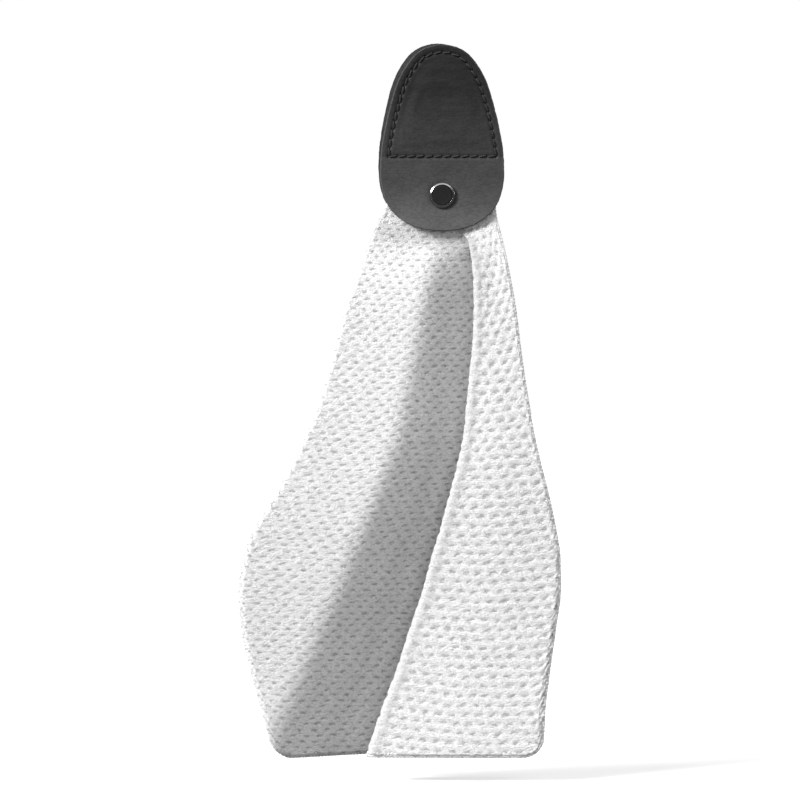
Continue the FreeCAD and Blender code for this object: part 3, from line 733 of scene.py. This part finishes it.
# ------------------------------------------------------------------ lockstitch
def rope_stitches(name, holes, front):
    """Each stitch is a three-strand cord that rises out of one hole and sinks into the next."""
    strands, steps, sides, turns = 3, 26, 7, 2.1
    strand_radius, lay_radius, sink = (0.30, 0.235, 0.75) if front else (0.22, 0.17, 0.95)
    outward, face_y = (-1.0, FRONT_Y) if front else (1.0, REAR_Y)
    t = np.linspace(0, 1, steps)
    arch = np.sin(math.pi * t) ** 0.55
    around = 2 * math.pi * np.arange(sides)[:, None] / sides
    verts, faces = [], []
    for k, (first, last) in enumerate(zip(holes, holes[1:])):
        along = last - first
        along = along / np.linalg.norm(along)
        across = np.array([-along[1], along[0]])
        # the thread lies slightly across the seam, and short of the holes
        first = first - across * 0.30 + along * 0.34
        last = last + across * 0.30 - along * 0.34
        uneven = math.sin(k * 12.9898) * 0.5
        rise = (0.22 + 0.05 * uneven) if front else -0.40
        y = face_y + outward * (rise * arch - sink * (1 - arch))
        center = np.stack([first[0] + (last[0] - first[0]) * t, y,
                           first[1] + (last[1] - first[1]) * t], 1)
        tangent = np.gradient(center, axis=0)
        tangent /= np.linalg.norm(tangent, axis=1)[:, None]
        normal = np.cross(tangent, np.array([across[0], 0, across[1]]))
        normal /= np.linalg.norm(normal, axis=1)[:, None]
        sideways = np.cross(normal, tangent)
        for strand in range(strands):
            angle = 2 * math.pi * (strand / strands + turns * t)[:, None]
            core = center + lay_radius * (np.cos(angle) * sideways + np.sin(angle) * normal)
            ring = np.cos(around) * sideways[:, None] + np.sin(around) * normal[:, None]
            faces += tube_faces(steps, sides, start=len(verts) * steps * sides)
            verts.append((core[:, None] + strand_radius * ring).reshape(-1, 3))
    ob = make_mesh(name, np.vstack(verts), faces, [THREAD])
    clean(ob, weld=1e-9)
    return ob


for front, suffix, thread in ((True, "", "needle"), (False, "_rear", "bobbin")):
    for seam, holes in (("arch", ARCH_HOLES), ("cross", CROSS_HOLES)):
        register(rope_stitches(f"{seam}_stitching{suffix}", holes, front), "patch",
                 f"{seam}_{thread}_thread", slot="thread")


# ------------------------------------------------------------------ press snap
# Profiles are (radius from the snap axis, y)
CAP_RIM = [
    (1.05, FRONT_INNER_Y + 0.70), (1.05, FRONT_Y - 0.50), (4.4, FRONT_Y - 0.52),
    (4.93, FRONT_Y - 0.80), (4.95, FRONT_Y - 1.70), (5.06, FRONT_Y - 1.96),
    (5.22, FRONT_Y - 1.97), (6.02, FRONT_Y - 1.58), (6.16, FRONT_Y - 1.25),
    (6.2, FRONT_Y - 0.72), (6.12, FRONT_Y - 0.25), (5.85, FRONT_Y + 0.12),
    (5.2, FRONT_Y + 0.14), (1.72, FRONT_Y + 0.10), (1.70, FRONT_INNER_Y + 0.44),
    (2.30, FRONT_INNER_Y + 0.47), (2.33, FRONT_INNER_Y + 0.70), (1.06, FRONT_INNER_Y + 0.71),
]
CAP_FACE = [
    (0.001, FRONT_Y - 0.88), (4.6, FRONT_Y - 0.88), (4.90, FRONT_Y - 0.95),
    (4.92, FRONT_Y - 1.50), (4.72, FRONT_Y - 1.70), (4.2, FRONT_Y - 1.74),
    (3.0, FRONT_Y - 1.69), (0.001, FRONT_Y - 1.64),
]
REAR_POST = [
    (1.10, REAR_INNER_Y - 1.0), (1.10, 0.16), (1.5, 0.42), (2.2, 0.62), (3.4, 0.66), (4.2, 0.50),
    (4.56, 0.22), (4.58, 0.02), (4.3, -0.14), (1.70, -0.12), (1.70, REAR_INNER_Y - 0.62),
    (1.93, REAR_INNER_Y - 0.63), (1.93, REAR_INNER_Y - 0.98), (1.11, REAR_INNER_Y - 1.0),
]
EYELET_FRONT_Y, EYELET_REAR_Y = CLOTH_Y - 1.15, CLOTH_Y + 1.15
EYELET = [
    (6.0, EYELET_REAR_Y), (6.0, EYELET_FRONT_Y + 0.25), (6.25, EYELET_FRONT_Y + 0.02),
    (6.9, EYELET_FRONT_Y - 0.02), (8.6, EYELET_FRONT_Y + 0.02), (9.4, EYELET_FRONT_Y + 0.12),
    (9.62, EYELET_FRONT_Y + 0.36), (9.5, EYELET_FRONT_Y + 0.47), (6.47, EYELET_FRONT_Y + 0.46),
    (6.46, EYELET_REAR_Y - 0.02), (6.05, EYELET_REAR_Y),
]


def rounded(points, radius, steps):
    """Rounds the inner corners of an open profile."""
    result = [points[0]]
    for before, corner, after in zip(points, points[1:], points[2:]):
        corner = np.array(corner, float)
        back, ahead = np.array(before, float) - corner, np.array(after, float) - corner
        back_length, ahead_length = np.linalg.norm(back), np.linalg.norm(ahead)
        cut = min(radius, back_length * 0.45, ahead_length * 0.45)
        start, end = corner + back / back_length * cut, corner + ahead / ahead_length * cut
        for i in range(steps + 1):
            t = i / steps
            result.append(tuple((1 - t) ** 2 * start + 2 * t * (1 - t) * corner + t * t * end))
    result.append(points[-1])
    return result


def turned_part(name, profile, corner, steps, sides, material, weld=1e-6):
    """Solid turned about the snap axis from a profile with rounded corners."""
    profile = np.array(rounded(profile, corner, steps), float)
    radius, y = profile[:, :1], profile[:, 1:]
    angle = np.linspace(0, 2 * math.pi, sides, endpoint=False)
    verts = np.stack([radius * np.cos(angle), np.broadcast_to(y, (len(profile), sides)),
                      SNAP_Z + radius * np.sin(angle)], -1).reshape(-1, 3)
    ob = make_mesh(name, verts, tube_faces(len(profile), sides, capped=False), [material])
    clean(ob, weld)
    return ob


register(turned_part("snap_cap_shell", CAP_RIM, corner=0.3, steps=6, sides=180,
                     material=GUNMETAL), "front_flap", "snap_cap_rim", slot="gunmetal")
register(turned_part("snap_cap_disc", CAP_FACE, corner=0.14, steps=5, sides=160,
                     material=ENAMEL, weld=3e-6), "front_flap", "snap_cap_face", slot="cap_black")
register(turned_part("snap_rear_post", REAR_POST, corner=0.2, steps=5, sides=150,
                     material=GUNMETAL), "rear_flap", "snap_post", slot="gunmetal")
register(turned_part("towel_eyelet_ring", EYELET, corner=0.12, steps=5, sides=150,
                     material=GUNMETAL), "towel", "towel_eyelet", slot="gunmetal")

# CAD pieces that keep their own mesh
for name, material in (("snap_socket", NICKEL), ("snap_stud", NICKEL),
                       ("snap_spring_ring", SPRING), ("eyelet_washer", GUNMETAL),
                       ("magnet_disc", MAGNET), ("magnet_spacer", FOAM)):
    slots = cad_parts[name].data.materials
    slots.clear()
    slots.append(material)


# ------------------------------------------------------------------ towel drape
# The cloth runs from a left panel through a rear turn, a hidden run back to the left and a front
# turn to a right panel that lies in front. Tables are (depth below the snap axis, value).

# x of the left edge, the right edge and the visible fold of the pleat
LEFT = [
    (-14, -23.5), (-8, -25.5), (-3, -26.3), (3, -27.0), (6.5, -28.2), (10.5, -30.6),
    (18, -34.0), (25.5, -37.0), (40.5, -42.0), (55.5, -47.5), (70.5, -51.5), (85.5, -55.5),
    (100.5, -60.0), (115.5, -66.0), (130.5, -73.5), (145.5, -81.5), (160.5, -91.0),
    (175.5, -96.5), (190.5, -98.5), (210, -97.0), (230, -92.5), (250, -87.0), (272, -81.0)]
RIGHT = [
    (-14, 23.5), (-8, 25.2), (-3, 25.8), (3, 26.0), (10.5, 26.8), (18, 28.6), (25.5, 30.4),
    (40.5, 33.4), (55.5, 36.0), (70.5, 37.8), (85.5, 39.8), (100.5, 42.2), (115.5, 44.8),
    (130.5, 48.2), (145.5, 52.0), (160.5, 55.2), (175.5, 57.4), (190.5, 57.6), (210, 55.2),
    (230, 52.4), (250, 50.0), (272, 49.0)]
PLEAT = [
    (-14, 9.0), (3, 10.0), (18, 12.0), (25.5, 14.0), (40.5, 16.0), (55.5, 16.4), (70.5, 16.0),
    (85.5, 14.5), (100.5, 13.0), (115.5, 11.5), (130.5, 8.5), (145.5, 4.5), (160.5, 0.5),
    (175.5, -4.0), (190.5, -8.0), (210, -14.5), (230, -21.0), (250, -28.5), (272, -36.0)]
# length of the hidden run
HIDDEN = [(-14, 0.3), (10, 0.5), (14, 1.0), (18, 2.3), (26, 5.4), (45, 9.5), (70, 13.0),
          (115, 21.5), (160, 39.0), (190, 49.0), (230, 57.0), (272, 65.0)]
# radius and angle (degrees) of the two turns
TURN_RADIUS = [(-14, 0.5), (12, 0.42), (18, 0.52), (26, 0.95), (40, 1.35), (60, 1.62),
               (90, 1.75), (150, 2.0), (210, 2.3), (272, 2.6)]
TURN_ANGLE = [(-14, 0.0), (10, 0.0), (13, 90.0), (18, 158.0), (26, 172.0), (40, 178.0),
              (272, 180.0)]
THICKNESS = [(-14, 1.7), (6, 1.5), (13, 0.95), (20, 1.0), (30, 1.6), (45, 2.2), (70, 2.5),
             (272, 2.6)]
# channel to the left of the pleat: depth, share of it taken off again, and width
CHANNEL_DEPTH = [(14, 0.0), (18, 1.8), (24, 4.3), (32, 8.4), (45, 14.4), (60, 17.4),
                 (115, 20.8), (190, 25.2), (272, 26.0)]
CHANNEL_SHIFT = [(14, 0.75), (40, 0.55), (120, 0.32), (272, 0.25)]
CHANNEL_WIDTH = [(14, 20.0), (22, 22.5), (59, 32.5), (114, 39.5), (188, 50.0), (225, 55.0),
                 (272, 61.0)]
# (degrees from straight down, radius from the snap axis that the flaps cover)
FLAP_REACH = [(0, 19.0), (15, 20.0), (32, 22.6), (50, 25.6), (63, 27.8), (73, 29.6),
              (85, 33.4), (100, 36.0), (180, 36.0)]
# parameter across the cloth (0..1) at which each section ends
LEFT_END, REAR_TURN_END, HIDDEN_END, FRONT_TURN_END = 0.34, 0.46, 0.60, 0.72


def channel(q):
    """Share of the channel's depth at q widths left of the pleat: a steady slope, eased at the
    far side and levelling off under the pleat (negative q)."""
    far_start, far_width, level_width = 0.68, 0.32, 0.12
    k = np.clip(q, 0.0, 1.0)
    t = np.clip((k - far_start) / far_width, 0.0, 1.0)
    slope = k - far_width * (t ** 3 - t ** 4 / 2)
    under = np.clip(q, -level_width, 0.0)
    return (slope + under * (1 + under / (2 * level_width))) / (1 - far_width / 2)


def pleat_section(u, depth):
    """(x, y from the cloth's middle plane) of the folded cloth, before it hangs in waves."""
    left, right, fold = table(LEFT, depth), table(RIGHT, depth), table(PLEAT, depth)
    run, radius = table(HIDDEN, depth), table(TURN_RADIUS, depth)
    angle = np.radians(table(TURN_ANGLE, depth))
    sin, cos = np.sin(angle), np.cos(angle)
    turn_x, turn_y = radius * sin, radius * (1 - cos)
    run_x, run_y = run * cos, run * sin
    past_square = np.where(angle > math.pi / 2, radius * (1 - sin), 0.0)
    left_width = fold + past_square - turn_x - run_x - left
    right_width = right - left - left_width - 2 * turn_x - run_x
    rear = angle * (u - LEFT_END) / (REAR_TURN_END - LEFT_END)
    along_run = (u - REAR_TURN_END) / (HIDDEN_END - REAR_TURN_END)
    front = angle * (1 - (u - HIDDEN_END) / (FRONT_TURN_END - HIDDEN_END))
    along_right = (u - FRONT_TURN_END) / (1 - FRONT_TURN_END)
    sections = [u <= LEFT_END, u <= REAR_TURN_END, u <= HIDDEN_END, u <= FRONT_TURN_END]
    turn_start = left + left_width
    panel_start = turn_start + 2 * turn_x + run_x
    x = np.select(sections, [
        left + left_width * (u / LEFT_END),
        turn_start + radius * np.sin(rear),
        turn_start + turn_x + run_x * along_run,
        panel_start - radius * np.sin(front),
    ], panel_start + right_width * along_right)
    y = np.select(sections, [
        np.zeros_like(u),
        -radius * (1 - np.cos(rear)),
        -turn_y - run_y * along_run,
        -turn_y - run_y - radius * (np.cos(front) - cos),
    ], -2 * turn_y - run_y)
    y = y + turn_y + run_y / 2
    # flat above, folded below
    folded = smooth((depth - 10.0) / 13.0)
    x = x * folded + (left + (right - left) * u) * (1 - folded)
    return x, y * folded


def drape(u, depth):
    """Middle of the cloth (mm) at parameter u across and a depth below the snap axis."""
    u, depth = np.broadcast_arrays(np.asarray(u, float), np.asarray(depth, float))
    x, y = pleat_section(u, depth)

    # large slow shapes, growing with depth
    grow = smooth((depth - 20) / 150.0)
    to_left = np.clip(1 - u / LEFT_END, 0, 1)
    to_right = np.clip((u - FRONT_TURN_END) / (1 - FRONT_TURN_END), 0, 1)
    wave = -(0.5 + 1.5 * grow) * to_left ** 3 * smooth((depth - 5) / 60.0)
    wave -= (0.4 + 0.3 * grow) * np.sin(math.pi * to_right) ** 2 * smooth((depth - 10) / 60.0)
    wave -= 1.2 * grow * to_right
    wave += 1.6 * grow * np.sin(2 * math.pi * (depth / 230.0 + 0.25 * u + 0.1))
    # small slack folds that fade away from the gather
    wave += (0.7 * np.sin(u * 23.0 + 0.8 * np.sin(depth / 33.0)) * smooth((depth - 18) / 20.0)
             * np.exp(-np.clip(depth - 20, 0, None) / 45.0))

    q = (table(PLEAT, depth) - x) / table(CHANNEL_WIDTH, depth)
    behind = 1 - smooth((u - LEFT_END) / (FRONT_TURN_END - LEFT_END))
    sunk = table(CHANNEL_DEPTH, depth) * (channel(q) - table(CHANNEL_SHIFT, depth)) * behind

    from_snap = np.hypot(x, depth)
    bearing = np.degrees(np.arctan2(np.abs(x), depth))
    beyond = from_snap - table(FLAP_REACH, bearing)
    # the channel begins outside everything the flaps sweep when the towel swings 18 degrees
    clear = from_snap - table(FLAP_REACH, bearing + 19.0)
    y = y - 0.15 * ease(8.0, 14.0, depth) * ease(30.0, 20.0, depth)
    y = y + wave * smooth(beyond / 26.0) - sunk * smooth((clear + 1.6) / 13.0) * (depth > 0)
    return np.stack([x, CLOTH_Y + y, SNAP_Z - depth], -1)


def edge_speed(depth):
    """mm of cloth per unit of u at the left edge and at the right edge."""
    step = 0.01
    one = np.ones_like(depth)
    left = drape(one * step, depth) - drape(one * 0, depth)
    right = drape(one, depth) - drape(one * (1 - step), depth)
    return np.linalg.norm(left, axis=-1) / step, np.linalg.norm(right, axis=-1) / step


def normals(u, depth):
    u_step, depth_step = 2e-3, 0.2
    across = drape(np.minimum(1, u + u_step), depth) - drape(np.maximum(0, u - u_step), depth)
    down = drape(u, depth + depth_step) - drape(u, depth - depth_step)
    normal = np.cross(across, down)
    normal /= np.maximum(1e-9, np.linalg.norm(normal, axis=-1))[..., None]
    return normal


# ------------------------------------------------------------------ towel cloth
CLOTH_COLUMNS, CLOTH_ROWS = 257, 457
HEM_OVERLAP = 1.2                   # the cloth stops this far inside the hem's outer edge
LEFT_ROW, RIGHT_ROW = 2.85, 4.55    # spacing of weave rows on the two panels
EVERY_OTHER = (slice(None, None, 2), slice(None, None, 2))      # the back grid


def cloth_grid():
    """Parameter u and depth at each grid point, with rounded lower corners."""
    # columns spaced almost evenly along the cloth at mid height
    even = np.linspace(0, 1, 4001)
    length = run_length(drape(even, np.full_like(even, 205.0)))
    share = 0.8 * length / length[-1] + 0.2 * even
    column = np.interp(np.linspace(0, 1, CLOTH_COLUMNS), share, even)[:, None]
    on_left, on_right = column < LEFT_END, column > FRONT_TURN_END
    right_share = 1 - FRONT_TURN_END
    down = np.linspace(0, 1, CLOTH_ROWS)[None, :]
    top = -TOP_RISE + (TOP_RISE - 3.0) * np.abs(2 * column - 1) ** 4
    base = DROP - HEM_OVERLAP
    radius = CORNER_RADIUS - HEM_OVERLAP
    depth = top + (base - top) * down
    # u and depth depend on each other, so settle them in turn
    for _ in range(3):
        left_speed, right_speed = edge_speed(depth)
        left_inset, right_inset = HEM_OVERLAP / left_speed, HEM_OVERLAP / right_speed
        u = np.where(on_left, left_inset + (LEFT_END - left_inset) * column / LEFT_END, column)
        u = np.where(on_right, 1 - right_inset
                     - (right_share - right_inset) * (1 - column) / right_share, u)
        from_side = np.minimum(np.where(on_left, left_speed * u - HEM_OVERLAP, 1e9),
                               np.where(on_right, right_speed * (1 - u) - HEM_OVERLAP, 1e9))
        into_corner = radius - np.clip(from_side, 0, radius)
        corner = base - radius + np.sqrt(np.maximum(0, radius * radius - into_corner ** 2))
        depth = top + (np.where(from_side >= radius, base, corner) - top) * down
    return u, depth


def weave(across, down, half_height, half_width):
    """Relief in cloth coordinates: (dash-shaped dents, tufts between them), each 0..1."""
    row = np.round(down)
    column = across + 0.5 * np.mod(row, 2)
    off_column = column - np.round(column)
    off_row = down - row + DASH_SLANT * off_column
    radius = np.sqrt((off_column / half_width) ** 2 + (off_row / half_height) ** 2)
    return ease(1.45, 0.15, radius), ease(1.1, 1.9, radius)


def sheet_faces(fine, coarse, keep):
    """Front faces, back faces at half the count, and triangles joining their rims; keep marks
    the back grid's cells that have cloth."""
    keep_fine = np.repeat(np.repeat(keep, 2, 0), 2, 1)
    front = np.stack([fine[:-1, :-1], fine[1:, :-1], fine[1:, 1:], fine[:-1, 1:]], -1)
    back = np.stack([coarse[:-1, :-1], coarse[:-1, 1:], coarse[1:, 1:], coarse[1:, :-1]], -1)
    padded = np.pad(keep, 1)
    rows, columns = keep.shape
    rim = []
    # each side of a cell: the neighbour beyond it, then its end corners in boundary order
    for (di, dj), start, end in (((-1, 0), (0, 1), (0, 0)), ((1, 0), (1, 0), (1, 1)),
                                 ((0, -1), (0, 0), (1, 0)), ((0, 1), (1, 1), (0, 1))):
        neighbour = padded[1 + di:1 + di + rows, 1 + dj:1 + dj + columns]
        i, j = np.nonzero(keep & ~neighbour)
        i0, j0, i1, j1 = i + start[0], j + start[1], i + end[0], j + end[1]
        first, middle, last = fine[2 * i0, 2 * j0], fine[i0 + i1, j0 + j1], fine[2 * i1, 2 * j1]
        near, far = coarse[i0, j0], coarse[i1, j1]
        rim += [np.stack([middle, first, near], -1), np.stack([last, middle, far], -1),
                np.stack([middle, near, far], -1)]
    return front[keep_fine], back[keep], np.vstack(rim)


def towel():
    u, depth = cloth_grid()
    middle, normal = drape(u, depth), normals(u, depth)
    x = middle[..., 0]

    # length across the cloth, and where it reaches the two panels' ends
    steps = np.linalg.norm(np.diff(middle, axis=0), axis=-1)
    arc = np.concatenate([np.zeros((1, CLOTH_ROWS)), np.cumsum(steps, axis=0)])

    def arc_at(parameter):
        return np.array([np.interp(parameter, u[:, j], arc[:, j])
                         for j in range(CLOTH_ROWS)])[None, :]

    past_fold = arc - arc_at(FRONT_TURN_END)

    # cloth coordinates: columns counted from the left edge and from the pleat, rows fanning
    # out from the gather; hidden goes 0 to 1 from the left panel to the right one
    period = 5.7 + 1.5 * ease(20.0, 130.0, depth)
    hidden = np.clip((u - LEFT_END) / (HIDDEN_END - LEFT_END), 0, 1)
    left = np.minimum(arc, arc_at(LEFT_END)) / period - 34.0
    right = past_fold / (period - 0.75) + 0.25
    across = left * (1 - hidden) + right * hidden
    fan = np.hypot(x, depth + 15.0) - (depth + 15.0)
    row = LEFT_ROW + (RIGHT_ROW - LEFT_ROW) * ease(0.0, 1.0, hidden)
    down = (depth + (0.15 + 0.65 * hidden) * fan - 0.07 * hidden * x) / row
    half_height = (0.66 + 0.30 * hidden) / row
    half_width = 0.28 + 0.05 * hidden
    uneven_across = (across + 0.16 * noise(across * 0.9, down * 0.9, 0, 41)
                     + 0.07 * noise(across * 2.3, down * 2.3, 0, 42))
    uneven_down = (down + 0.15 * noise(across * 0.8, down * 0.6, 9, 43)
                   + 0.10 * noise(across * 2.3, down * 2.3, 9, 44))

    thickness = table(THICKNESS, depth)
    flat = ease(10.0, 13.0, np.hypot(x, middle[..., 2] - SNAP_Z))   # 0 pressed under the eyelet
    height = thickness / 2.6 * (0.72 + 0.28 * hidden)
    # the weave is stretched smooth where the cloth rolls over the pleat
    fold = np.where(u >= HIDDEN_END, 0.42 + 0.58 * ease(-2.0, 4.0, past_fold), 1.0)
    # weight of the painted shade along the fold of the pleat
    turned = np.where(u >= HIDDEN_END, ease(3.0, 0.5, past_fold), 0.0)
    half = np.where(flat < 1, 0.62 * (1 - flat) + thickness / 2 * flat, thickness / 2)

    # front face
    dent, tuft = weave(uneven_across, uneven_down, half_height, half_width)
    i, j = np.indices(u.shape)
    pile = 0.15 * noise(across * 6.1, depth * 1.3, 0, 51) + 0.10 * lattice(i, j, 0 * i, 52)
    raised = (((0.14 - 0.14 * hidden) * tuft - (0.50 - 0.28 * hidden) * dent + pile)
              * fold * height * (0.2 + 0.8 * flat))
    front = middle + normal * (half + raised)[..., None]

    # back face: coarser, its dents half a cell over, thinner where pinched to clear the rear ply
    back = EVERY_OTHER
    dent, tuft = weave(uneven_across[back] + 0.5, uneven_down[back], half_height[back],
                       half_width[back])
    lint = 0.10 * lattice(i[back], j[back], 0 * i[back], 53)
    raised = (0.14 * tuft - 0.55 * dent + lint) * height[back] * (0.2 + 0.8 * flat[back])
    pinch = ease(12.0, 3.0, depth[back])
    rear = middle[back] - normal[back] * (half[back] * (1 - 0.32 * pinch)
                                          + raised * (1 - 0.6 * pinch))[..., None]

    fine = np.arange(u.size).reshape(u.shape)
    coarse = u.size + np.arange(rear[..., 0].size).reshape(rear.shape[:2])
    corner = middle[back]
    cell_x = (corner[:-1, :-1, 0] + corner[1:, 1:, 0]) / 2
    cell_z = (corner[:-1, :-1, 2] + corner[1:, 1:, 2]) / 2
    snap_hole_radius = 7.3
    keep = np.hypot(cell_x, cell_z - SNAP_Z) > snap_hole_radius
    parts = sheet_faces(fine, coarse, keep)
    verts = np.vstack([front.reshape(-1, 3), rear.reshape(-1, 3)])
    used = np.zeros(len(verts), bool)
    for part in parts:
        used[part.ravel()] = True
    renumber = np.cumsum(used) - 1
    faces = [face for part in parts for face in renumber[part].tolist()]

    def both(values, shift=0.0):
        """Front values, then the back grid's, for the vertices in use."""
        return np.concatenate([values.ravel(), (values[back] + shift).ravel()])[used]

    ob = make_mesh("towel_fabric", verts[used], faces, [TOWEL], attributes={
        "cu": both(uneven_across, shift=0.5), "cv": both(uneven_down), "hv": both(half_height),
        "wd": both(half_width), "turn": both(turned), "loft": both(flat * fold)})
    clean(ob)
    return ob


register(towel(), "towel", "towel_cloth", slot="microfibre")


# ------------------------------------------------------------------ towel hem
def hem():
    """Overlocked edge: ribbed thread down the left side, along the bottom and up the right."""
    top, straight_end = 1.0, DROP - CORNER_RADIUS
    side_count, corner_count, bottom_count = 620, 36, 640
    going_down = np.linspace(top, straight_end, side_count, endpoint=False)
    going_up = np.linspace(straight_end, top, side_count)
    left_corner = np.linspace(0, math.pi / 2, corner_count, endpoint=False)
    right_corner = np.linspace(math.pi / 2, 0, corner_count, endpoint=False)
    left_speed, right_speed = (float(speed[0]) for speed in edge_speed(np.array([DROP])))
    fine = np.linspace(CORNER_RADIUS / left_speed, 1 - CORNER_RADIUS / right_speed, 4001)
    length = run_length(drape(fine, np.full_like(fine, DROP - 1.0)))
    bottom = np.interp(np.linspace(0, length[-1], bottom_count, endpoint=False), length, fine)

    def locate(inset):
        """u and depth of the line this far inside the free edge."""
        radius = CORNER_RADIUS - inset
        straight = np.full(side_count, inset)
        left_depth = np.concatenate([going_down, straight_end + radius * np.sin(left_corner)])
        left = np.concatenate([straight, CORNER_RADIUS - radius * np.cos(left_corner)])
        right_depth = np.concatenate([straight_end + radius * np.sin(right_corner), going_up])
        right = np.concatenate([CORNER_RADIUS - radius * np.cos(right_corner), straight])
        u = np.concatenate([left / edge_speed(left_depth)[0], bottom,
                            1 - right / edge_speed(right_depth)[1]])
        return u, np.concatenate([left_depth, np.full(bottom_count, DROP - inset), right_depth])

    outer, inner = drape(*locate(0.0)), drape(*locate(HEM_WIDTH))
    center = (outer + inner) / 2
    along = run_length(center)
    rings = int(along[-1] / 0.42)
    run = np.linspace(0, along[-1], rings)

    def even(values):
        return np.stack([np.interp(run, along, values[:, i]) for i in range(3)], 1)

    normal = even(normals(*locate(HEM_WIDTH / 2)))
    center, half_width = even(center), even((outer - inner) / 2)
    normal /= np.linalg.norm(normal, axis=1)[:, None]
    half_height = np.minimum(1.12, 0.5 * table(THICKNESS, SNAP_Z - center[:, 2]) - 0.06)

    sides, rib_pitch = 14, 1.75
    angle = np.linspace(0, 2 * math.pi, sides, endpoint=False)
    cos, sin = np.cos(angle), np.sin(angle)
    rib = (1 + 0.085 * np.cos(2 * math.pi * run[:, None] / rib_pitch + 1.2 * sin[None, :])
           + 0.05 * noise(run[:, None] * 0.9, cos[None, :] * 1.3, sin[None, :] * 1.3, 61))
    # a squarish section
    wide = np.sign(cos) * np.abs(cos) ** 0.55
    high = np.sign(sin) * np.abs(sin) ** 0.8
    verts = (center[:, None, :]
             + half_width[:, None, :] * (wide[None, :] * rib)[..., None] * 0.95
             + normal[:, None, :] * (high[None, :] * rib * half_height[:, None])[..., None])
    return make_mesh("towel_overlock_hem", verts.reshape(-1, 3), tube_faces(rings, sides),
                     [OVERLOCK], attributes={"run": np.repeat(run, sides)})


register(hem(), "towel", "hem_left", "hem_right", "hem_bottom", slot="hem_thread")


# ------------------------------------------------------------------ floor (metres from here on)
def make_floor(z, half):
    mesh = bpy.data.meshes.new("floor")
    corners = [(-half, -half, z), (half, -half, z), (half, half, z), (-half, half, z)]
    mesh.from_pydata(corners, [], [(0, 1, 2, 3)])
    mesh.materials.append(pale_floor())
    floor = bpy.data.objects.new("floor", mesh)
    bpy.context.scene.collection.objects.link(floor)
    # the floor must not light the towel from below
    floor.visible_glossy = False
    floor.visible_diffuse = False
    return floor


lo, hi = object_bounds()
make_floor(z=lo.z - 0.012, half=40.0)


# ------------------------------------------------------------------ lights
def place_light(light, location, target):
    ob = bpy.data.objects.new(light.name, light)
    ob.location = location
    ob.rotation_mode = "QUATERNION"
    ob.rotation_quaternion = (Vector(target) - Vector(location)).to_track_quat("-Z", "Y")
    bpy.context.scene.collection.objects.link(ob)


def soft_sun(name, azimuth, elevation, strength, spread):
    """Distant soft lamp, angles in degrees: azimuth from the front, positive to the right."""
    light = bpy.data.lights.new(name, "SUN")
    light.energy = strength
    light.angle = math.radians(spread)
    a, e = math.radians(azimuth), math.radians(elevation)
    place_light(light, (3 * math.sin(a) * math.cos(e), -3 * math.cos(a) * math.cos(e),
                        3 * math.sin(e)), target=(0, 0, 0))


def strip(name, location, target, width, height, power):
    light = bpy.data.lights.new(name, "AREA")
    light.shape = "RECTANGLE"
    light.size, light.size_y = width, height
    light.energy = power
    place_light(light, location, target)


soft_sun("key", azimuth=-56.0, elevation=29.0, strength=4.55, spread=22.0)
soft_sun("back_fill", azimuth=140.0, elevation=25.0, strength=2.0, spread=34.0)
soft_sun("edge_fill", azimuth=84.0, elevation=18.0, strength=0.5, spread=14.0)
strip("top_strip", location=(0.0, -0.75, 0.85), target=(0, 0, -0.04), width=1.5, height=0.30,
      power=1.6)


# ------------------------------------------------------------------ world
def studio_world():
    """White surround: plain to the camera, a broad overhead softbox to polished parts, and
    gently brighter from above for everything else."""
    world = bpy.data.worlds.new("studio")
    bpy.context.scene.world = world
    world.use_nodes = True
    tree = world.node_tree
    direction = node(tree, "ShaderNodeTexCoord").outputs["Generated"]
    up = node(tree, "ShaderNodeSeparateXYZ", {"Vector": direction}).outputs["Z"]
    ray = node(tree, "ShaderNodeLightPath").outputs
    ambient = smooth_range(tree, up, source=(-0.7, 0.9), result=(0.22, 0.44))
    softbox = smooth_range(tree, up, source=(0.34, 0.60), result=(0.20, 1.15))

    def choose(switch, off, on):
        values = {0: switch, 2: off, 3: on}
        return node(tree, "ShaderNodeMix", values, data_type="FLOAT").outputs[0]

    lighting = choose(ray["Is Glossy Ray"], off=ambient, on=softbox)
    strength = choose(ray["Is Camera Ray"], off=lighting, on=1.0)
    fill(tree, tree.nodes["Background"], {0: (1.0, 1.0, 1.0, 1), 1: strength})


studio_world()
bpy.context.scene.view_settings.view_transform = "Standard"


# ------------------------------------------------------------------ camera
def add_camera(middle, distance):
    """Level camera in front, looking along +Y at the middle of the product."""
    camera = bpy.data.cameras.new("camera")
    camera.lens = 150
    camera.sensor_width = 36
    camera.clip_start = 0.05
    camera.clip_end = 50
    ob = bpy.data.objects.new("camera", camera)
    ob.location = (middle.x, -distance, middle.z)
    ob.rotation_euler = (math.radians(90), 0, 0)
    bpy.context.scene.collection.objects.link(ob)
    bpy.context.scene.camera = ob


add_camera(middle=(lo + hi) / 2, distance=1.62)
